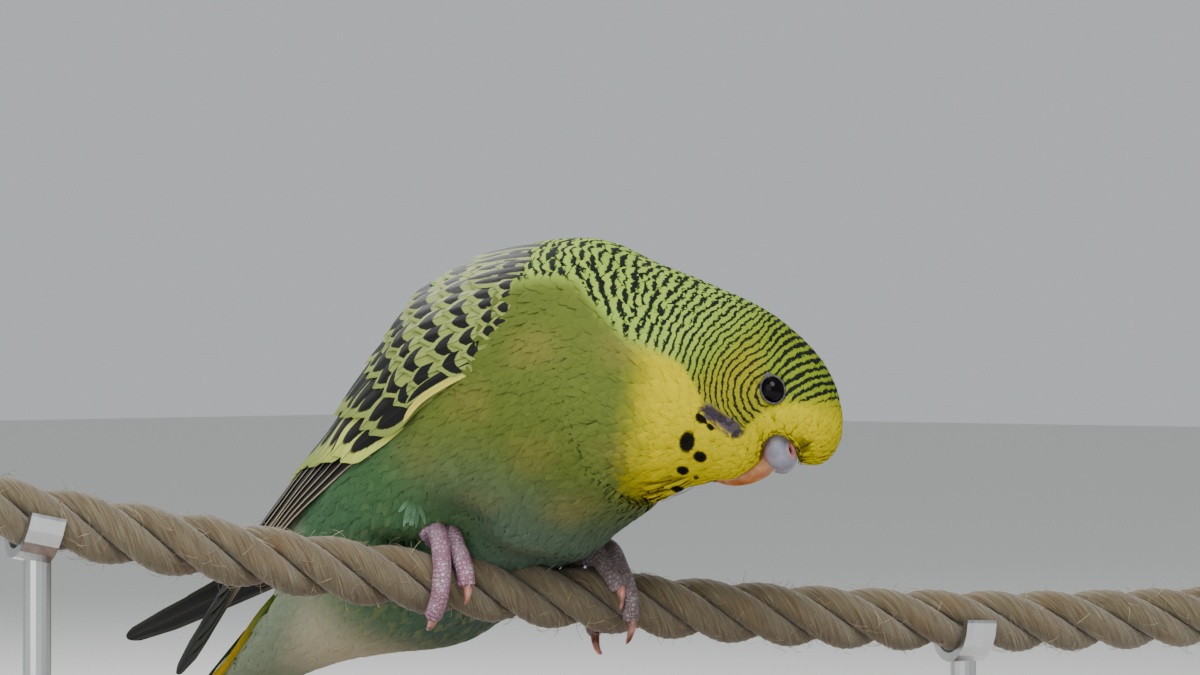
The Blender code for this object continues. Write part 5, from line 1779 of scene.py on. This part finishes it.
def claw_mesh(foot, spec):
    """Curved claw, high at its root and flattened at the sides."""
    start, stop, first, last, length = spec
    a = foot + stop
    along, near, up = rope_frame(a)
    phi = radians(last)
    turn = 1 if last > first else -1
    at = rope_point(a) + (TOE_PATH + 0.15) * (sin(phi) * near + cos(phi) * up)
    heading = turn * (cos(phi) * near - sin(phi) * up)
    inward = -(sin(phi) * near + cos(phi) * up)
    f = np.linspace(0, 1, 26)
    lean = 0.75 * (1 - 1.9 * f)
    step = np.cos(lean)[:, None] * heading - np.sin(lean)[:, None] * inward
    path = at - heading * 0.7 + length * np.cumsum(step, axis=0) / 26
    size_at = 0.98 * (1 - f) ** 0.6 + 0.07
    ahead = unit(np.gradient(path, axis=0))
    side = unit(np.cross(ahead, inward))
    over = np.cross(side, ahead)
    angles = np.arange(20) * 2 * pi / 20
    rings = path[:, None] + size_at[:, None, None] * (0.72 * np.cos(angles)[None, :, None] * side[:, None]
                                                      + np.sin(angles)[None, :, None] * over[:, None])
    return loft(rings)


def ring_marks(piece, foot, toes):
    """Distance along the nearest toe, kept on the skin for its rings."""
    points = np.empty(len(piece.data.vertices) * 3)
    piece.data.vertices.foreach_get("co", points)
    points = points.reshape(-1, 3) / MM - (0, 0, ROPE_HEIGHT)
    best, run = np.full(len(points), 1e9), np.zeros(len(points))
    for spec in toes.values():
        path = toe_path(foot, spec, 110)
        length = np.concatenate([[0], np.cumsum(np.linalg.norm(np.diff(path, axis=0), axis=1))])
        for k in range(len(path)):
            d = ((points - path[k]) ** 2).sum(1)
            closer = d < best
            best[closer], run[closer] = d[closer], length[k]
    piece.data.attributes.new("rings", "FLOAT", "POINT").data.foreach_set(
        "value", run.astype(np.float32))


def leg_line(foot):
    """From the ankle over the toes' roots up into the belly."""
    _, near, up = rope_frame(foot)
    low = rope_point(foot + (1.0 if foot < 0 else -0.8)) + up * (TOE_PATH + 0.2) - near * 1.5
    return low, low + np.array([0.0, 9.0, 9.0])


class BUDGIE_OT_feet(Operator):
    """Ringed toes, shanks and claws that grip the rope"""
    bl_idname = "budgie.feet"
    bl_label = "Feet"

    def execute(self, context):
        colours = context.scene.budgie_colours
        looks = {}
        for name, base, shade, groove in (
                ("foot_right", tuple(colours.foot), (180, 156, 172), (118, 72, 84)),
                # the left foot is the same skin in painted shade: darker base, mottle and grooves
                ("foot_left", linear(118, 102, 103), (150, 134, 140), (70, 54, 52))):
            look, t, shader = new_material(name + " skin", 0.5, Specular_IOR_Level=0.4,
                                           Subsurface_Weight=0.15, Subsurface_Scale=0.0015)
            cloud = t.noise(t.place(), 380.0, 3.0)
            scale = t.node("ShaderNodeTexVoronoi", {"Vector": t.place(), "Scale": 1500.0},
                           feature="DISTANCE_TO_EDGE").outputs[0]
            crack = t.ramp(scale, 0.0, 0.16)
            turns = t.math("MULTIPLY_ADD", t.attribute("rings").outputs["Fac"], 2 * pi / SCUTE,
                           t.math("MULTIPLY", t.noise(t.place(), 500.0, 1.0), 1.6))
            ring = t.ramp(t.math("SINE", turns), -0.95, -0.2)
            crack = t.math("MULTIPLY", crack, t.math("MULTIPLY_ADD", ring, 0.8, 0.2))
            colour = t.mix(base, linear(*shade), t.ramp(cloud, 0.35, 0.7))
            # grooves between the scales and rings take the darker groove colour: partly the skin's own colour
            # there, partly painted shade in the creases
            colour = t.mix(linear(*groove), colour, t.math("MULTIPLY_ADD", crack, 0.7, 0.3))
            t.tree.links.new(colour, shader.inputs["Base Color"])
            bump(t, shader, crack, 0.8, 0.0003)
            looks[name] = look
        claw_look, t, shader = new_material("claw", 0.3, Specular_IOR_Level=0.5, Coat_Weight=0.2)
        cloud = t.noise(t.place(), 420.0, 3.0)
        t.tree.links.new(t.mix(linear(92, 52, 48), linear(168, 112, 98), t.ramp(cloud, 0.35, 0.65)),
                         shader.inputs["Base Color"])
        for name, leg_name, foot, toes in (("foot_right", "leg_right", FOOT_RIGHT, TOES_RIGHT),
                                           ("foot_left", "leg_left", FOOT_LEFT, TOES_LEFT)):
            low, high = leg_line(foot)
            heading = unit(high - low)
            parts = [toe_mesh(foot, spec) for spec in toes.values()]
            parts.append(ball(low, (2.1, 2.1, 1.8), np.eye(3)))
            shank = tube_rings(spline([low, low + heading * 4.5, low + heading * 11], 40),
                               np.interp(np.linspace(0, 1, 40), [0, 0.4, 1], [1.65, 1.6, 2.2]), 30,
                               (1, 0, 0))
            parts.append(loft(shank))
            piece = fused(name + "_skin", parts, 0.14, looks[name], 1)
            ring_marks(piece, foot, toes)
            print(name, len(piece.data.polygons))
            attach(piece, "root")
            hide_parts(name, leg_name)
            claws = build_mesh(name.replace("foot", "claws"),
                               *joined([claw_mesh(foot, spec) for spec in toes.values()]), claw_look)
            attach(claws, "root")
        return {"FINISHED"}


# stand
class BUDGIE_OT_stand(Operator):
    """Finish of the display stand"""
    bl_idname = "budgie.stand"
    bl_label = "Stand"

    def execute(self, context):
        steel, t, shader = new_material("brushed steel", 0.3, Metallic=1.0)
        grain = t.noise(t.place((900, 900, 40)), 1.0, 3.0)
        t.tree.links.new(t.mix(linear(168, 168, 170), linear(204, 204, 206), grain),
                         shader.inputs["Base Color"])
        t.tree.links.new(t.math("MULTIPLY_ADD", grain, 0.25, 0.2), shader.inputs["Roughness"])
        bump(t, shader, grain, 0.1, 0.0001)
        wood, t, shader = new_material("oiled walnut", 0.42, Specular_IOR_Level=0.4)
        rings = t.noise(t.place((14, 130, 60), (0, 0, radians(-19))), 1.0, 4.0, 0.6)
        pores = t.noise(t.place((90, 1500, 700), (0, 0, radians(-19))), 1.0, 2.0)
        base = t.mix(linear(74, 48, 32), linear(134, 94, 62), t.ramp(rings, 0.3, 0.7))
        base = t.mix(base, linear(44, 28, 20), t.math("MULTIPLY", t.ramp(pores, 0.56, 0.72), 0.7))
        t.tree.links.new(base, shader.inputs["Base Color"])
        bump(t, shader, pores, 0.12, 0.0002)
        for name, look in (("stand_base", wood), ("stand_rod_left", steel), ("stand_rod_right", steel)):
            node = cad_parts[name]
            node.data.materials.clear()
            node.data.materials.append(look)
        return {"FINISHED"}


# stage
class BUDGIE_OT_stage(Operator):
    """Pale floor, soft lights and the camera"""
    bl_idname = "budgie.stage"
    bl_label = "Stage"

    def execute(self, context):
        pale, t, shader = new_material("pale floor", 0.8, Specular_IOR_Level=0.2)
        shader.inputs["Base Color"].default_value = (0.72, 0.73, 0.70, 1.0)
        reach = 4000.0
        points = np.array([(-reach, -reach, -ROPE_HEIGHT), (reach, -reach, -ROPE_HEIGHT),
                           (reach, reach, -ROPE_HEIGHT), (-reach, reach, -ROPE_HEIGHT)])
        floor = build_mesh("floor", points, [(0, 1, 2), (0, 2, 3)], pale, smoothed=False)
        world = bpy.data.worlds.new("soft sky")
        context.scene.world = world
        world.use_nodes = True
        world.node_tree.nodes["Background"].inputs[0].default_value = (0.80, 0.84, 0.86, 1.0)
        world.node_tree.nodes["Background"].inputs[1].default_value = 0.62
        target = put(axis_point(20, -20))
        for name, offset, power, across in (("key", (-330, -420, 560), 7.0, 0.5),
                                            ("fill", (-620, -120, 160), 2.0, 0.6),
                                            ("rim", (160, 520, 520), 6.0, 0.4)):
            data = bpy.data.lights.new(name, "AREA")
            data.shape = "DISK"
            data.size = across
            data.energy = power
            light = bpy.data.objects.new(name, data)
            context.scene.collection.objects.link(light)
            light.location = target + np.array(offset) * MM
            direction = Vector(target - np.array(light.location))
            light.rotation_euler = direction.to_track_quat("-Z", "Y").to_euler()
        lens = bpy.data.cameras.new("camera")
        lens.lens = 4464.0 / 1200.0 * 36.0
        lens.sensor_width = 36.0
        lens.clip_start = 0.01
        lens.clip_end = 50.0
        camera = bpy.data.objects.new("camera", lens)
        context.scene.collection.objects.link(camera)
        camera.location = put(seen(12.9, -720.0, 40.7))
        camera.rotation_euler = Vector(seen(0, 1, 0)).to_track_quat("-Z", "Y").to_euler()
        context.scene.camera = camera
        return {"FINISHED"}


class BUDGIE_PT_panel(Panel):
    """Sizes, colours and steps of the model"""
    bl_idname = "BUDGIE_PT_panel"
    bl_label = "Budgerigar"
    bl_space_type = "VIEW_3D"
    bl_region_type = "UI"
    bl_category = "Budgerigar"

    def draw(self, context):
        column = self.layout.column()
        for settings in (context.scene.budgie_sizes, context.scene.budgie_colours):
            for key in settings.bl_rna.properties.keys():
                if key not in ("rna_type", "name"):
                    column.prop(settings, key)
        for step in STEPS:
            column.operator(step.bl_idname)


STEPS = (BUDGIE_OT_stage, BUDGIE_OT_skin, BUDGIE_OT_coat, BUDGIE_OT_wings, BUDGIE_OT_tail,
         BUDGIE_OT_eyes, BUDGIE_OT_bill, BUDGIE_OT_rope, BUDGIE_OT_feet, BUDGIE_OT_stand)
CLASSES = (BudgieSizes, BudgieColours) + STEPS + (BUDGIE_PT_panel,)


def register():
    for item in CLASSES:
        bpy.utils.register_class(item)
    bpy.types.Scene.budgie_sizes = PointerProperty(type=BudgieSizes)
    bpy.types.Scene.budgie_colours = PointerProperty(type=BudgieColours)


def unregister():
    del bpy.types.Scene.budgie_colours
    del bpy.types.Scene.budgie_sizes
    for item in reversed(CLASSES):
        bpy.utils.unregister_class(item)


def main():
    register()
    for step in STEPS:
        group_name, name = step.bl_idname.split(".")
        getattr(getattr(bpy.ops, group_name), name)()


if __name__ == "__main__":
    main()
